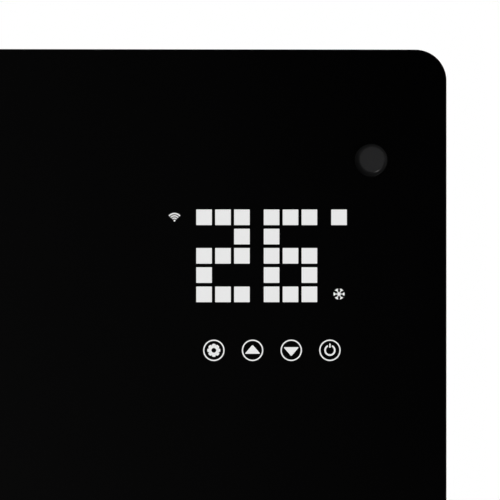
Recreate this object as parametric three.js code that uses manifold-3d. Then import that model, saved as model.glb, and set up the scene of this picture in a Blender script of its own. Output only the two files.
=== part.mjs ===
// Infrared panel heater: a black tempered glass front held by four round caps on a steel rear casing,
// with a square-pixel readout and four touch keys behind the glass, standing on two arched feet.
// Millimetres. +X is to the right seen from the front, -Y is the front, +Z is up.
// The origin is on the floor, under the middle of the heater.
import * as THREE from "three";
import { mergeVertices } from "three/addons/utils/BufferGeometryUtils.js";
import Module from "manifold-3d";

const wasm = await Module();
wasm.setup();

// ---------------------------------------------------------------- driving dimensions

// How finely round forms are divided.
const SHOULDER_STEPS = 4; // steps in a cap's shoulder
const CORNER_STEPS = 6; // steps in a quarter of a plate's rounded corner
const SLOT_STEPS = 2; // steps in a quarter of a vent slot's end
const ROUND_STEPS = 20; // sides of a turned piece that shows
const SMALL_STEPS = 8; // sides of a screw, bore or boss
const GLAND_STEPS = 12;
const PLATE_STEPS = 3; // steps in a quarter of a small plate or pressed field's corner
const FOOT_STEPS = 5; // steps in each bend of a foot
const WIRE_SIDES = 8;

// Clearances.
const FACE_GAP = 0.2; // paint, tape or gasket between two large faces
const RUNNING_GAP = 0.3; // a pin, wire or screw in its hole
const WINDOW_GAP = 0.2; // a moulded body in its window

// How solids are joined and cut.
const JOIN_OVERLAP = 1; // a form's root inside the one that it is joined to
const CUT_OVERRUN = 1; // a cutting tool's reach past the piece
const CUT_SLIVER = 0.01; // the same where a tool's drafted size has to hold at the face

// Glass front.
const GLASS_WIDTH = 1000;
const GLASS_HEIGHT = 500;
const GLASS_THICKNESS = 5;
const GLASS_CORNER_R = 15;
const GLASS_ARRIS = 0.6; // ground edge
const GLASS_FRONT_Y = -20;
const FLOOR_TO_GLASS = 60;
const GLASS_HOLE_R = 5.2;

// Round caps, bushes, spacers and screws that hold the glass at its four corners.
const CAP_INSET_X = 37.6; // cap axis from the side edge of the glass
const CAP_INSET_Z = 55.6; // cap axis from the top or bottom edge
const CAP_R = 8.7;
const CAP_HEIGHT = 4.4;
const CAP_SHOULDER = 2.4; // width of the rounded shoulder round the flat face
const CAP_SHOULDER_RISE = 3;
const CAP_THREAD_DEPTH = 3.2;
const BUSH_FRONT_FLANGE = 0.8;
const BUSH_FRONT_R = 7.6;
const BUSH_REAR_FLANGE = 1;
const SPACER_R = 7; // hexagonal, to a corner
const FIXING_SCREW_R = 2.5; // M5
const FIXING_HEAD_R = 4.75;
const FIXING_HEAD_H = 2.8;
const SCREW_END_GAP = 0.4;
const HEX_SOCKET_R = 1.7;
const HEX_SOCKET_DEPTH = 1.6;
const HEAD_CROWN = 0.25; // a screw head's sloped edge as a share of its radius

// Rear casing: a pressed steel tray, open to the front.
const CASING_SIDE_MARGIN = 20; // glass edge to casing, left and right
const CASING_TOP_MARGIN = 35; // glass edge to casing, top and bottom
const CASING_DEPTH = 24;
const CASING_SHEET = 1.2;
const CASING_CORNER_R = 12;
const LIP_CLEARANCE = 1.7; // casing's rim, turned in at the front, to a spacer
const CHIMNEY_GAP = 6; // glass back to the casing's rim
const VENT_SLOT_LENGTH = 82;
const VENT_SLOT_WIDTH = 9;
const VENT_PITCH = 102;
const VENT_END_MARGIN = 25;

// Pressed fields that stiffen the casing's back, and the threaded bosses for a wall plate.
const FIELD_COUNT = 3;
const FIELD_GAP = 20;
const FIELD_SIDE_MARGIN = 40; // casing side to the first field
const FIELD_END_MARGIN = 70; // casing top or bottom to a field
const FIELD_BAY_OVERLAP = 2; // how far the last field runs behind the bay wall
const FIELD_RISE = 3;
const FIELD_DRAFT = 4;
const FIELD_CORNER_R = 14;
const WALL_BOSS_SPACING_X = 300;
const WALL_BOSS_SPACING_Z = 200;
const BOSS_R = 5.5;
const BOSS_LENGTH = 8;
const BOSS_FLANGE = 1;
const BOSS_FLANGE_R = 7;
const THREAD_R = 2.1; // M5 tapping size

// Heating film on the glass, insulation board in the casing, and the wall of the electronics bay.
const FILM_THICKNESS = 0.8;
const FILM_SIDE_MARGIN = 55; // glass side edge to the film
const FILM_END_MARGIN = 50; // glass top or bottom edge to the film
const FILM_BAY_GAP = 23; // film to the bay wall
const FILM_TAB_LENGTH = 8;
const FILM_TAB_HEIGHT = 6;
const FILM_TAB_THICKNESS = 1.6;
const FILM_TAB_SPACING = 30;
const FILM_TAB_RISE = 50; // lower tab above the film's bottom edge
const BOARD_BAY_GAP = 23;
const BOARD_SCREW_GAP = 13; // upper foot screw to the board's bottom edge
const BOARD_THICKNESS = 10;
const BOARD_BOSS_GAP = 1.5; // hole in the board round a wall boss
const BOARD_CORNER_R = 6;
const BOARD_TOP_MARGIN = 20; // board's top edge below the casing's top
const BAY_WIDTH = 162; // bay wall to the casing's right side
const BAY_WALL_SHEET = 1;
const BAY_WALL_FLANGE = 12;
const BAY_WALL_HOLE_R = 4;
const CUTOUT_R = 8;
const CUTOUT_BODY = 5;
const CUTOUT_CAP_R = 5.5;
const CUTOUT_CAP_H = 3;
const CUTOUT_FROM_TOP = 55; // below the casing's top

// Readout: pixels of 3 columns by 5 rows for each digit, all placed from the glass's top right corner.
const PIXEL = 8.1;
const PIXEL_PITCH_X = 9.46;
const PIXEL_PITCH_Z = 9.63;
const DIGIT_COLUMNS = 3;
const DIGIT_ROWS = 5;
const DIGIT_PITCH = 33.75;
const DIGIT_COUNT = 2;
const READOUT_FROM_RIGHT = 120.95; // first pixel's centre from the right edge
const READOUT_FROM_TOP = 83.65; // first pixel's centre from the top edge
const ICON_WELL_R = 3.6;
const RADIO_ICON_FROM_RIGHT = 135.8;
const RADIO_ICON_FROM_TOP = 83.4;
const FLAKE_ICON_FROM_RIGHT = 53.5;
const FLAKE_ICON_FROM_TOP = 122;
const KEY_COUNT = 4;
const KEY_PITCH = 19.35;
const KEY_FROM_RIGHT = 58.1; // last key's centre
const KEY_FROM_TOP = 150.15;
const KEY_COLLAR_R = 4.6;

// Display module behind the readout.
const MODULE_WIDTH = 104;
const MODULE_HEIGHT = 90;
const MODULE_CORNER_R = 4;
const MODULE_FROM_RIGHT = 94; // module's centre
const MODULE_FROM_TOP = 117.5;
const DIFFUSER_THICKNESS = 0.8;
const WELL_DEPTH = 8;
const WELL_BACK = 5.2; // a well's square opening at the board
const CIRCUIT_THICKNESS = 1.6;
const LED_SIZE = 3;
const LED_HEIGHT = 1;
const LED_ROOT = 0.5; // how far an LED is joined into the board
const SPRING_R = 2.8;
const SPRING_WIRE_R = 0.3;
const SPRING_TURNS = 3;
const SPRING_STEPS = 7; // per turn
const SPRING_WIRE_SIDES = 5;
const RADIO_WIDTH = 18;
const RADIO_HEIGHT = 25;
const RADIO_THICKNESS = 3;

// Rear cover over the power board, moulded in plastic.
const COVER_FROM_RIGHT = 94;
const COVER_SCREW_CLEARANCE = 15; // glass screw's axis to the cover's bottom edge
const COVER_WIDTH = 124;
const COVER_HEIGHT = 240;
const COVER_CORNER_R = 10;
const COVER_FLANGE = 2.5;
const COVER_WALL = 2.2;
const HUMP_MARGIN = 8; // flange edge to the raised hump
const HUMP_RISE = 20;
const HUMP_DRAFT = 2.5;
const HUMP_CORNER_R = 9;
const ACCESS_MARGIN = 12; // cover edge to the opening in the casing
const COVER_SCREW_INSET = 4.3;
const COVER_SCREW_R = 1.5;
const COVER_HEAD_R = 2.9;
const COVER_HEAD_H = 1.8;
const COVER_SCREW_LENGTH = 7;
const COVER_VENT_COUNT = 9;
const COVER_VENT_LENGTH = 64;
const COVER_VENT_WIDTH = 3.4;
const COVER_VENT_PITCH = 8;
const COVER_VENT_Z = 40; // middle of the vents from the cover's centre

// Power board and what stands on it.
const POWER_MARGIN = 9; // power board's side edge to the hump's
const POWER_HEIGHT = 140;
const POWER_Z = 25; // from the cover's centre
const POST_INSET = 5;
const POST_R = 3.2;
const POST_PIN_R = 1.4;
const POST_LENGTH = 10.8;
const RELAY_SIZE = [19, 15.5, 15.5];
const RELAY_AT = [-24, -14]; // x and z on the board
const TRANSFORMER_SIZE = [34, 20, 28];
const TRANSFORMER_AT = [20, 34];
const TERMINAL_SIZE = [36, 12, 12];
const TERMINAL_AT = [12, -52];
const TERMINAL_WAYS = 4;
const TERMINAL_HOLE_R = 1.9;
const TERMINAL_HOLE_DEPTH = 5;

// Rocker switch in the cover.
const SWITCH_X = -22;
const SWITCH_Z = -82;
const BEZEL_WIDTH = 15.2;
const BEZEL_HEIGHT = 21.4;
const BEZEL_THICKNESS = 1.8;
const BEZEL_CORNER_R = 1.5;
const SWITCH_BODY_WIDTH = 13;
const SWITCH_BODY_HEIGHT = 19;
const SWITCH_BODY_DEPTH = 17;
const ROCKER_WELL_WIDTH = 11;
const ROCKER_WELL_HEIGHT = 17;
const ROCKER_WELL_DEPTH = 10;
const ROCKER_TILT = 10; // degrees either way
const ROCKER_PIVOT_DEPTH = 3.4; // below the bezel's face
const ROCKER_KEEL_HALF = 2.5;
const ROCKER_KEEL_DEPTH = 4;
const ROCKER_HEEL_DEPTH = 1; // end of the rocker below its pivot
const TRUNNION_R = 1;
const TRUNNION_LENGTH = 0.7;
const BLADE_WIDTH = 4.8;
const BLADE_THICKNESS = 0.8;
const BLADE_LENGTH = 7;

// Gland for the mains lead in the cover's lower end.
const GLAND_X = 25;
const GLAND_BORE_R = 3.5;
const GLAND_THREAD_R = 6.2;
const GLAND_THREAD_LENGTH = 10;
const GLAND_CLEARANCE = 0.4; // flat of the hexagon to the flange and to the hump's inside
const GLAND_HEX_LENGTH = 5;
const GLAND_NECK = 0.8;
const GLAND_NUT_LENGTH = 7;
const GLAND_DOME_LENGTH = 5;
const GLAND_DOME_R = 5.2;
const LOCK_NUT_LENGTH = 4;
const GLAND_PAD_WIDTH = 19;
const GLAND_PAD_THICKNESS = 5;

// Safety devices low in the electronics bay.
const TILT_SWITCH_SIZE = [18, 10, 16];
const TILT_SWITCH_FROM_WALL = 32; // bay wall to the tip-over switch's middle
const AIR_SENSOR_FROM_RIGHT = 76;
const AIR_SENSOR_R = 2.5;
const AIR_SENSOR_LENGTH = 12;
const AIR_SENSOR_FOOT = [10, 8, 3];

// Feet: bent flat bar on rubber pads.
const FOOT_BAY_GAP = 18; // middle of a foot to the bay wall
const FOOT_WIDTH = 40;
const FOOT_DEPTH = 250;
const FOOT_BAR = 5;
const FOOT_UPRIGHT = 4;
const FOOT_ARCH_RISE = 7;
const FOOT_TOE = 34; // flat length at each end
const FOOT_FILLET = 14;
const ARCH_TOE_EASE = 1.6; // how soon the arch's upper curve leaves the toe
const ARCH_CROWN_EASE = 1.8; // and how soon it meets the crown
const FOOT_OVERLAP = 44; // upright's height on the casing
const FOOT_CORNER_R = 9;
const FOOT_SCREW_FIRST = 12; // lower screw above the casing's bottom
const FOOT_SCREW_PITCH = 20;
const FOOT_SCREW_LENGTH = 11;
const PAD_THICKNESS = 3;
const PAD_LENGTH = 26;
const PAD_MARGIN = 3;

// Wiring inside the bay.
const LEAD_R = 1.1;
const CABLE_R = 1.4;
const WIRE_STEP = 7; // length of one straight bit of a bent wire
const LEAD_DROP = 12; // from the terminal block down to a lead's bend
const LEAD_SPREAD = 2.4; // half the distance between the leads in their hole

// ---------------------------------------------------------------- worked-out places

const panelZ = FLOOR_TO_GLASS + GLASS_HEIGHT / 2;
const glassRight = GLASS_WIDTH / 2;
const glassTop = GLASS_HEIGHT / 2; // from the panel's centre
const glassBackY = GLASS_FRONT_Y + GLASS_THICKNESS;
const capX = glassRight - CAP_INSET_X;
const capZ = glassTop - CAP_INSET_Z;
const bushFrontY = GLASS_FRONT_Y - BUSH_FRONT_FLANGE;
const bushBackY = glassBackY + BUSH_REAR_FLANGE;

const casingWidth = GLASS_WIDTH - 2 * CASING_SIDE_MARGIN;
const casingHeight = GLASS_HEIGHT - 2 * CASING_TOP_MARGIN;
const casingLip = CAP_INSET_X - CASING_SIDE_MARGIN - CASING_SHEET - SPACER_R - LIP_CLEARANCE;
const casingFrontY = glassBackY + CHIMNEY_GAP;
const casingBackY = casingFrontY + CASING_DEPTH;
const casingFloorY = casingBackY - CASING_SHEET; // inner face of the back
const casingBottom = -casingHeight / 2;
const insideBottom = casingBottom + CASING_SHEET;
const bayWallX = casingWidth / 2 - BAY_WIDTH;
const footX = bayWallX - FOOT_BAY_GAP;
const topFootScrewZ = casingBottom + FOOT_SCREW_FIRST + FOOT_SCREW_PITCH;

const coverX = glassRight - COVER_FROM_RIGHT;
const coverZ = COVER_SCREW_CLEARANCE + COVER_HEIGHT / 2 - capZ;
const coverY = casingBackY + FACE_GAP;
const humpWidth = COVER_WIDTH - 2 * HUMP_MARGIN;
const humpHeight = COVER_HEIGHT - 2 * HUMP_MARGIN;
const humpInsideY = HUMP_RISE - COVER_WALL;
const glandFlat = (humpInsideY - COVER_FLANGE) / 2 - GLAND_CLEARANCE;
const glandY = COVER_FLANGE + GLAND_CLEARANCE + glandFlat; // axis behind the cover's front
const glandHexR = glandFlat / Math.cos(Math.PI / 6); // to a corner
const powerWidth = humpWidth - 2 * POWER_MARGIN;
const powerBackY = humpInsideY - POST_LENGTH; // board's rear face, from the cover's front
const powerFrontY = powerBackY - CIRCUIT_THICKNESS;

const moduleX = glassRight - MODULE_FROM_RIGHT;
const moduleZ = glassTop - MODULE_FROM_TOP;
const diffuserY = glassBackY + FACE_GAP;
const wellsY = diffuserY + DIFFUSER_THICKNESS + FACE_GAP;
const circuitY = wellsY + WELL_DEPTH + FACE_GAP;

const filmLeft = FILM_SIDE_MARGIN - glassRight;
const filmWidth = bayWallX - FILM_BAY_GAP - filmLeft;
const filmHeight = GLASS_HEIGHT - 2 * FILM_END_MARGIN;
const filmX = filmLeft + filmWidth / 2;
const filmY = glassBackY + FACE_GAP;
const tabFirstZ = FILM_TAB_RISE - filmHeight / 2;
const leadPassY = casingFrontY + CASING_DEPTH / 2; // leads' hole in the bay wall
const leadPassZ = tabFirstZ + FILM_TAB_SPACING / 2;
const terminalWayX = (i) => ((i + 0.5) / TERMINAL_WAYS - 0.5) * TERMINAL_SIZE[0];

const fieldsLeft = FIELD_SIDE_MARGIN - casingWidth / 2;
const fieldPitch = (bayWallX + FIELD_BAY_OVERLAP - fieldsLeft + FIELD_GAP) / FIELD_COUNT;
const fieldWidth = fieldPitch - FIELD_GAP;
const fieldHeight = casingHeight - 2 * FIELD_END_MARGIN;

const rad = THREE.MathUtils.degToRad;
const AXIS_X = new THREE.Vector3(1, 0, 0);
const AXIS_Y = new THREE.Vector3(0, 1, 0);
const AXIS_Z = new THREE.Vector3(0, 0, 1);

// ---------------------------------------------------------------- materials

const finish = (color, roughness, metalness) =>
  new THREE.MeshStandardMaterial({ color, roughness, metalness });
const materials = {
  blackGlass: finish(0x030304, 0.04, 0),
  capMetal: finish(0x1d1d1e, 0.38, 0.4),
  silicone: finish(0x0c0c0c, 0.75, 0),
  zincSteel: finish(0xa9abac, 0.35, 1),
  powderCoat: finish(0x141517, 0.6, 0.1),
  heatingFilm: finish(0x1a1a1c, 0.55, 0),
  foilBoard: finish(0xb9bcbe, 0.4, 0.6),
  barePlate: finish(0x9c9fa1, 0.4, 1),
  darkPlastic: finish(0x111213, 0.5, 0),
  whitePlastic: finish(0xe6e6e4, 0.45, 0),
  diffuser: finish(0xf0f0ee, 0.3, 0),
  circuitBoard: finish(0x0f3d22, 0.4, 0),
  springSteel: finish(0xc4a75a, 0.3, 1),
  wire: finish(0xd8d6d0, 0.5, 0),
  rubber: finish(0x0b0b0b, 0.85, 0),
};

// ---------------------------------------------------------------- solids

const MERGE_MM = 1e-4;

// A closed mesh as a solid that can be joined and cut.
function solid(geometry) {
  const bare = geometry.index ? geometry.toNonIndexed() : geometry.clone();
  for (const attribute of Object.keys(bare.attributes)) {
    if (attribute !== "position") bare.deleteAttribute(attribute);
  }
  const merged = mergeVertices(bare, MERGE_MM);
  const triVerts = new Uint32Array(merged.index.array);
  return new wasm.Manifold(
    new wasm.Mesh({ numProp: 3, vertProperties: merged.attributes.position.array, triVerts }),
  );
}

function geometryOf(body) {
  const mesh = body.getMesh();
  const positions = new Float32Array(mesh.numVert * 3);
  for (let i = 0; i < mesh.numVert; i++) {
    positions.set(mesh.vertProperties.subarray(i * mesh.numProp, i * mesh.numProp + 3), i * 3);
  }
  const geometry = new THREE.BufferGeometry();
  geometry.setAttribute("position", new THREE.BufferAttribute(positions, 3));
  geometry.setIndex(new THREE.BufferAttribute(mesh.triVerts, 1));
  return geometry;
}

function fuse(first, ...others) {
  return geometryOf(others.reduce((body, other) => body.add(solid(other)), solid(first)));
}

function cut(first, ...tools) {
  return geometryOf(tools.reduce((body, tool) => body.subtract(solid(tool)), solid(first)));
}

function common(first, ...others) {
  return geometryOf(others.reduce((body, other) => body.intersect(solid(other)), solid(first)));
}

// ---------------------------------------------------------------- outlines, in the plane X across and Z up

function roundedRect(width, height, radius, x = 0, z = 0) {
  const shape = new THREE.Shape();
  const right = x + width / 2;
  const top = z + height / 2;
  const left = x - width / 2;
  const bottom = z - height / 2;
  shape.absarc(right - radius, top - radius, radius, 0, Math.PI / 2);
  shape.absarc(left + radius, top - radius, radius, Math.PI / 2, Math.PI);
  shape.absarc(left + radius, bottom + radius, radius, Math.PI, 1.5 * Math.PI);
  shape.absarc(right - radius, bottom + radius, radius, 1.5 * Math.PI, 2 * Math.PI);
  return shape;
}

function rectangle(width, height, x = 0, z = 0) {
  const shape = new THREE.Shape();
  shape.moveTo(x - width / 2, z - height / 2);
  shape.lineTo(x + width / 2, z - height / 2);
  shape.lineTo(x + width / 2, z + height / 2);
  shape.lineTo(x - width / 2, z + height / 2);
  return shape;
}

function disc(radius, x = 0, z = 0) {
  return new THREE.Shape().absarc(x, z, radius, 0, 2 * Math.PI);
}

// ---------------------------------------------------------------- forms

// A plate whose outline lies in X and Z, with its front face at y = 0.
function plate(outline, thickness, steps = CORNER_STEPS) {
  const options = { depth: thickness, bevelEnabled: false, curveSegments: steps };
  return new THREE.ExtrudeGeometry(outline, options).rotateX(Math.PI / 2).translate(0, thickness, 0);
}

// A bar whose side view lies in Y and Z, centred across X.
function bar(outline, width, steps = CORNER_STEPS) {
  const options = { depth: width, bevelEnabled: false, curveSegments: steps };
  const turn = new THREE.Matrix4().makeBasis(AXIS_Y, AXIS_Z, AXIS_X);
  return new THREE.ExtrudeGeometry(outline, options).translate(0, 0, -width / 2).applyMatrix4(turn);
}

// A block with its front face at y = 0, centred across X and Z.
function block(width, depth, height) {
  return new THREE.BoxGeometry(width, depth, height).translate(0, depth / 2, 0);
}

// A turned piece about Y. The profile lists [radius, y] from the front up to the back, round the outside.
function turned(profile, steps = ROUND_STEPS) {
  return new THREE.LatheGeometry(profile.map(([radius, y]) => new THREE.Vector2(radius, y)), steps);
}

// A plain rod along Y from y = from to y = to.
function rod(radius, from, to, steps = SMALL_STEPS) {
  return new THREE.CylinderGeometry(radius, radius, to - from, steps).translate(0, (from + to) / 2, 0);
}

// A hexagonal rod along Y, with two of its flats square to Z.
function hexagon(cornerR, from, to) {
  return rod(cornerR, from, to, 6).rotateY(Math.PI / 6);
}

// A drafted block: one outline at y = from, drawn into another with as many points at y = to.
function drafted(fromOutline, from, toOutline, to, steps = CORNER_STEPS) {
  const near = tidyPoints(fromOutline, steps);
  const far = tidyPoints(toOutline, steps);
  const count = near.length;
  const positions = [];
  near.forEach((point) => positions.push(point.x, from, point.y));
  far.forEach((point) => positions.push(point.x, to, point.y));
  const indices = [];
  for (const [a, b, c] of THREE.ShapeUtils.triangulateShape(near, [])) {
    indices.push(a, b, c);
    indices.push(count + a, count + c, count + b);
  }
  for (let i = 0; i < count; i++) {
    const next = (i + 1) % count;
    indices.push(i, count + next, next);
    indices.push(i, count + i, count + next);
  }
  const geometry = new THREE.BufferGeometry();
  geometry.setAttribute("position", new THREE.Float32BufferAttribute(positions, 3));
  geometry.setIndex(indices);
  return geometry;
}

// An outline's points, without the ones that repeat where two arcs meet.
function tidyPoints(outline, steps) {
  const points = outline.getPoints(steps);
  return points.filter((point, i) => point.distanceTo(points[(i + 1) % points.length]) > MERGE_MM);
}

// A round wire along a smooth line through the given points.
function wire(points, radius, spacing) {
  const curve = new THREE.CatmullRomCurve3(points.map((point) => new THREE.Vector3(...point)));
  const steps = Math.max(2, Math.round(curve.getLength() / spacing));
  return sweep(curve, radius, steps, WIRE_SIDES);
}

function sweep(curve, radius, steps, sides) {
  const section = new THREE.Shape();
  for (let i = 0; i < sides; i++) {
    const angle = (2 * Math.PI * i) / sides;
    const move = i ? "lineTo" : "moveTo";
    section[move](radius * Math.cos(angle), radius * Math.sin(angle));
  }
  return new THREE.ExtrudeGeometry(section, { steps, extrudePath: curve, bevelEnabled: false });
}

class Helix extends THREE.Curve {
  constructor(radius, from, to, turns) {
    super();
    Object.assign(this, { radius, from, to, turns });
  }
  getPoint(t, target = new THREE.Vector3()) {
    const angle = 2 * Math.PI * this.turns * t;
    const y = THREE.MathUtils.lerp(this.from, this.to, t);
    return target.set(this.radius * Math.cos(angle), y, this.radius * Math.sin(angle));
  }
}

function piece(parent, name, geometry, material, x = 0, y = 0, z = 0) {
  const mesh = new THREE.Mesh(geometry, material);
  mesh.name = name;
  mesh.position.set(x, y, z);
  parent.add(mesh);
  return mesh;
}

// A pan-head screw along Y, its shank towards the front and its head's seat at y = 0.
function screw(shankR, length, headR, headH) {
  const crown = headR * HEAD_CROWN;
  const profile = [
    [0, -length],
    [shankR, -length],
    [shankR, 0],
    [headR, 0],
    [headR, headH - crown],
    [headR - crown, headH],
    [0, headH],
  ];
  const socket = rod(HEX_SOCKET_R, headH - HEX_SOCKET_DEPTH, headH + CUT_OVERRUN, 6);
  return cut(turned(profile, SMALL_STEPS), socket);
}

const corners = [
  ["top_left", -1, 1],
  ["top_right", 1, 1],
  ["bottom_left", -1, -1],
  ["bottom_right", 1, -1],
];

// ---------------------------------------------------------------- glass and its four fixings

function addGlass(panel) {
  const outline = roundedRect(GLASS_WIDTH, GLASS_HEIGHT, GLASS_CORNER_R);
  for (const [, sideX, sideZ] of corners) {
    outline.holes.push(disc(GLASS_HOLE_R, sideX * capX, sideZ * capZ));
  }
  const ground = new THREE.ExtrudeGeometry(outline, {
    depth: GLASS_THICKNESS - 2 * GLASS_ARRIS,
    bevelThickness: GLASS_ARRIS,
    bevelSize: GLASS_ARRIS,
    bevelOffset: -GLASS_ARRIS,
    bevelSegments: 1,
    curveSegments: CORNER_STEPS,
  });
  ground.rotateX(Math.PI / 2).translate(0, GLASS_THICKNESS - GLASS_ARRIS, 0);
  piece(panel, "glass_panel", ground, materials.blackGlass, 0, GLASS_FRONT_Y, 0);
}

function capGeometry() {
  const threadR = FIXING_SCREW_R + RUNNING_GAP;
  const shoulder = Array.from({ length: SHOULDER_STEPS + 1 }, (_, i) => {
    const turn = (i / SHOULDER_STEPS) * (Math.PI / 2);
    return [
      CAP_R - CAP_SHOULDER * (1 - Math.sin(turn)),
      CAP_SHOULDER_RISE * (1 - Math.cos(turn)) - CAP_HEIGHT,
    ];
  });
  const profile = [
    [0, -CAP_HEIGHT],
    ...shoulder,
    [CAP_R, 0],
    [threadR, 0],
    [threadR, -CAP_THREAD_DEPTH],
    [0, -CAP_THREAD_DEPTH],
  ];
  return turned(profile);
}

function bushGeometry() {
  const boreR = FIXING_SCREW_R + RUNNING_GAP;
  const bodyR = GLASS_HOLE_R - RUNNING_GAP;
  const length = bushBackY - bushFrontY;
  const profile = [
    [boreR, 0],
    [BUSH_FRONT_R, 0],
    [BUSH_FRONT_R, BUSH_FRONT_FLANGE],
    [bodyR, BUSH_FRONT_FLANGE],
    [bodyR, BUSH_FRONT_FLANGE + GLASS_THICKNESS],
    [SPACER_R, BUSH_FRONT_FLANGE + GLASS_THICKNESS],
    [SPACER_R, length],
    [boreR, length],
    [boreR, 0],
  ];
  return turned(profile, SMALL_STEPS);
}

function spacerGeometry() {
  const boreR = FIXING_SCREW_R + RUNNING_GAP;
  const length = casingFloorY - bushBackY;
  return cut(hexagon(SPACER_R, 0, length), rod(boreR, -CUT_OVERRUN, length + CUT_OVERRUN));
}

function addGlassFixings(panel) {
  const reach = casingBackY - (bushFrontY - CAP_THREAD_DEPTH) - SCREW_END_GAP;
  for (const [corner, sideX, sideZ] of corners) {
    const x = sideX * capX;
    const z = sideZ * capZ;
    const fixing = screw(FIXING_SCREW_R, reach, FIXING_HEAD_R, FIXING_HEAD_H);
    piece(panel, `glass_cap_${corner}`, capGeometry(), materials.capMetal, x, bushFrontY, z);
    piece(panel, `glass_bush_${corner}`, bushGeometry(), materials.silicone, x, bushFrontY, z);
    piece(panel, `glass_spacer_${corner}`, spacerGeometry(), materials.barePlate, x, bushBackY, z);
    piece(panel, `glass_screw_${corner}`, fixing, materials.zincSteel, x, casingBackY, z);
  }
}

// ---------------------------------------------------------------- rear casing

// Centres of the slots along the top and bottom walls.
function ventCentres() {
  const room = casingWidth - 2 * VENT_END_MARGIN - VENT_SLOT_LENGTH;
  const gaps = Math.floor(room / VENT_PITCH);
  return Array.from({ length: gaps + 1 }, (_, i) => (i - gaps / 2) * VENT_PITCH);
}

function fieldCentres() {
  return Array.from({ length: FIELD_COUNT }, (_, i) => fieldsLeft + fieldWidth / 2 + i * fieldPitch);
}

function wallBossCentres() {
  return corners.map(([, sideX, sideZ]) => [
    (sideX * WALL_BOSS_SPACING_X) / 2,
    (sideZ * WALL_BOSS_SPACING_Z) / 2,
  ]);
}

function footScrewHeights() {
  return [0, 1].map((i) => casingBottom + FOOT_SCREW_FIRST + i * FOOT_SCREW_PITCH);
}

function footScrewCentres() {
  return [-footX, footX].flatMap((x) => footScrewHeights().map((z) => [x, z]));
}

// One pressed field, as the block that it fills when its sheet starts at y = from.
function field(x, from) {
  const outer = roundedRect(fieldWidth, fieldHeight, FIELD_CORNER_R, x);
  const width = fieldWidth - 2 * FIELD_DRAFT;
  const height = fieldHeight - 2 * FIELD_DRAFT;
  const inner = roundedRect(width, height, FIELD_CORNER_R - FIELD_DRAFT, x);
  return drafted(outer, from, inner, from + FIELD_RISE, PLATE_STEPS);
}

// A threaded boss swaged into the sheet whose outer face is at y = face.
function boss(x, z, face) {
  const inner = face - CASING_SHEET;
  return rod(BOSS_R, inner - BOSS_LENGTH, inner + CASING_SHEET / 2, SMALL_STEPS).translate(x, 0, z);
}

function bossFlange(x, z, face) {
  return rod(BOSS_FLANGE_R, face - CASING_SHEET / 2, face + BOSS_FLANGE).translate(x, 0, z);
}

function addCasing(panel) {
  const sheet = CASING_SHEET;
  const backFace = CASING_DEPTH; // from the casing's own front
  const cavityDepth = CASING_DEPTH - 2 * sheet;
  const cavity = roundedRect(casingWidth - 2 * sheet, casingHeight - 2 * sheet, CASING_CORNER_R - sheet);
  const lip = sheet + casingLip;
  const mouth = roundedRect(casingWidth - 2 * lip, casingHeight - 2 * lip, CASING_CORNER_R - lip);
  const tray = plate(roundedRect(casingWidth, casingHeight, CASING_CORNER_R), CASING_DEPTH);
  const hollow = plate(cavity, cavityDepth).translate(0, sheet, 0);
  const opening = plate(mouth, 3 * sheet).translate(0, -sheet, 0);
  const fields = fieldCentres().map((x) => field(x, backFace));
  const fieldHollows = fieldCentres().map((x) => field(x, backFace - sheet));

  // Slots through the top and bottom walls, between the lip and the back.
  const slotOutline = roundedRect(VENT_SLOT_LENGTH, VENT_SLOT_WIDTH, VENT_SLOT_WIDTH / 2);
  const slotY = sheet + cavityDepth / 2;
  const slots = [-1, 1].flatMap((side) =>
    ventCentres().map((x) =>
      plate(slotOutline, 3 * sheet, SLOT_STEPS)
        .translate(0, -1.5 * sheet, 0)
        .rotateX(Math.PI / 2)
        .translate(x, slotY, side * (casingHeight / 2 - sheet / 2)),
    ),
  );

  const access = plate(
    roundedRect(COVER_WIDTH - 2 * ACCESS_MARGIN, COVER_HEIGHT - 2 * ACCESS_MARGIN, HUMP_CORNER_R),
    3 * sheet,
  ).translate(coverX, backFace - 2 * sheet, coverZ);

  const wallBosses = wallBossCentres().flatMap(([x, z]) => [
    boss(x, z, backFace + FIELD_RISE),
    bossFlange(x, z, backFace + FIELD_RISE),
  ]);
  const footBosses = footScrewCentres().map(([x, z]) => boss(x, z, backFace));
  const through = backFace + FIELD_RISE + 2 * BOSS_FLANGE;
  const wallThreads = wallBossCentres().map(([x, z]) => rod(THREAD_R, sheet, through).translate(x, 0, z));
  const footScrewR = FIXING_SCREW_R + RUNNING_GAP;
  const footThreads = footScrewCentres().map(([x, z]) => rod(footScrewR, sheet, through).translate(x, 0, z));
  const fixingHoles = corners.map(([, sideX, sideZ]) =>
    rod(footScrewR, backFace - 2 * sheet, through).translate(sideX * capX, 0, sideZ * capZ),
  );
  const coverScrewHoles = coverScrewCentres().map(([x, z]) =>
    rod(COVER_SCREW_R + WINDOW_GAP, backFace - 2 * sheet, through).translate(coverX + x, 0, coverZ + z),
  );

  const shell = cut(fuse(tray, ...fields), hollow, opening, ...fieldHollows);
  const pressed = fuse(shell, ...wallBosses, ...footBosses);
  const holes = [...slots, access, ...wallThreads, ...footThreads, ...fixingHoles, ...coverScrewHoles];
  piece(panel, "rear_casing", cut(pressed, ...holes), materials.powderCoat, 0, casingFrontY, 0);
}

// ---------------------------------------------------------------- heating side

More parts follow.
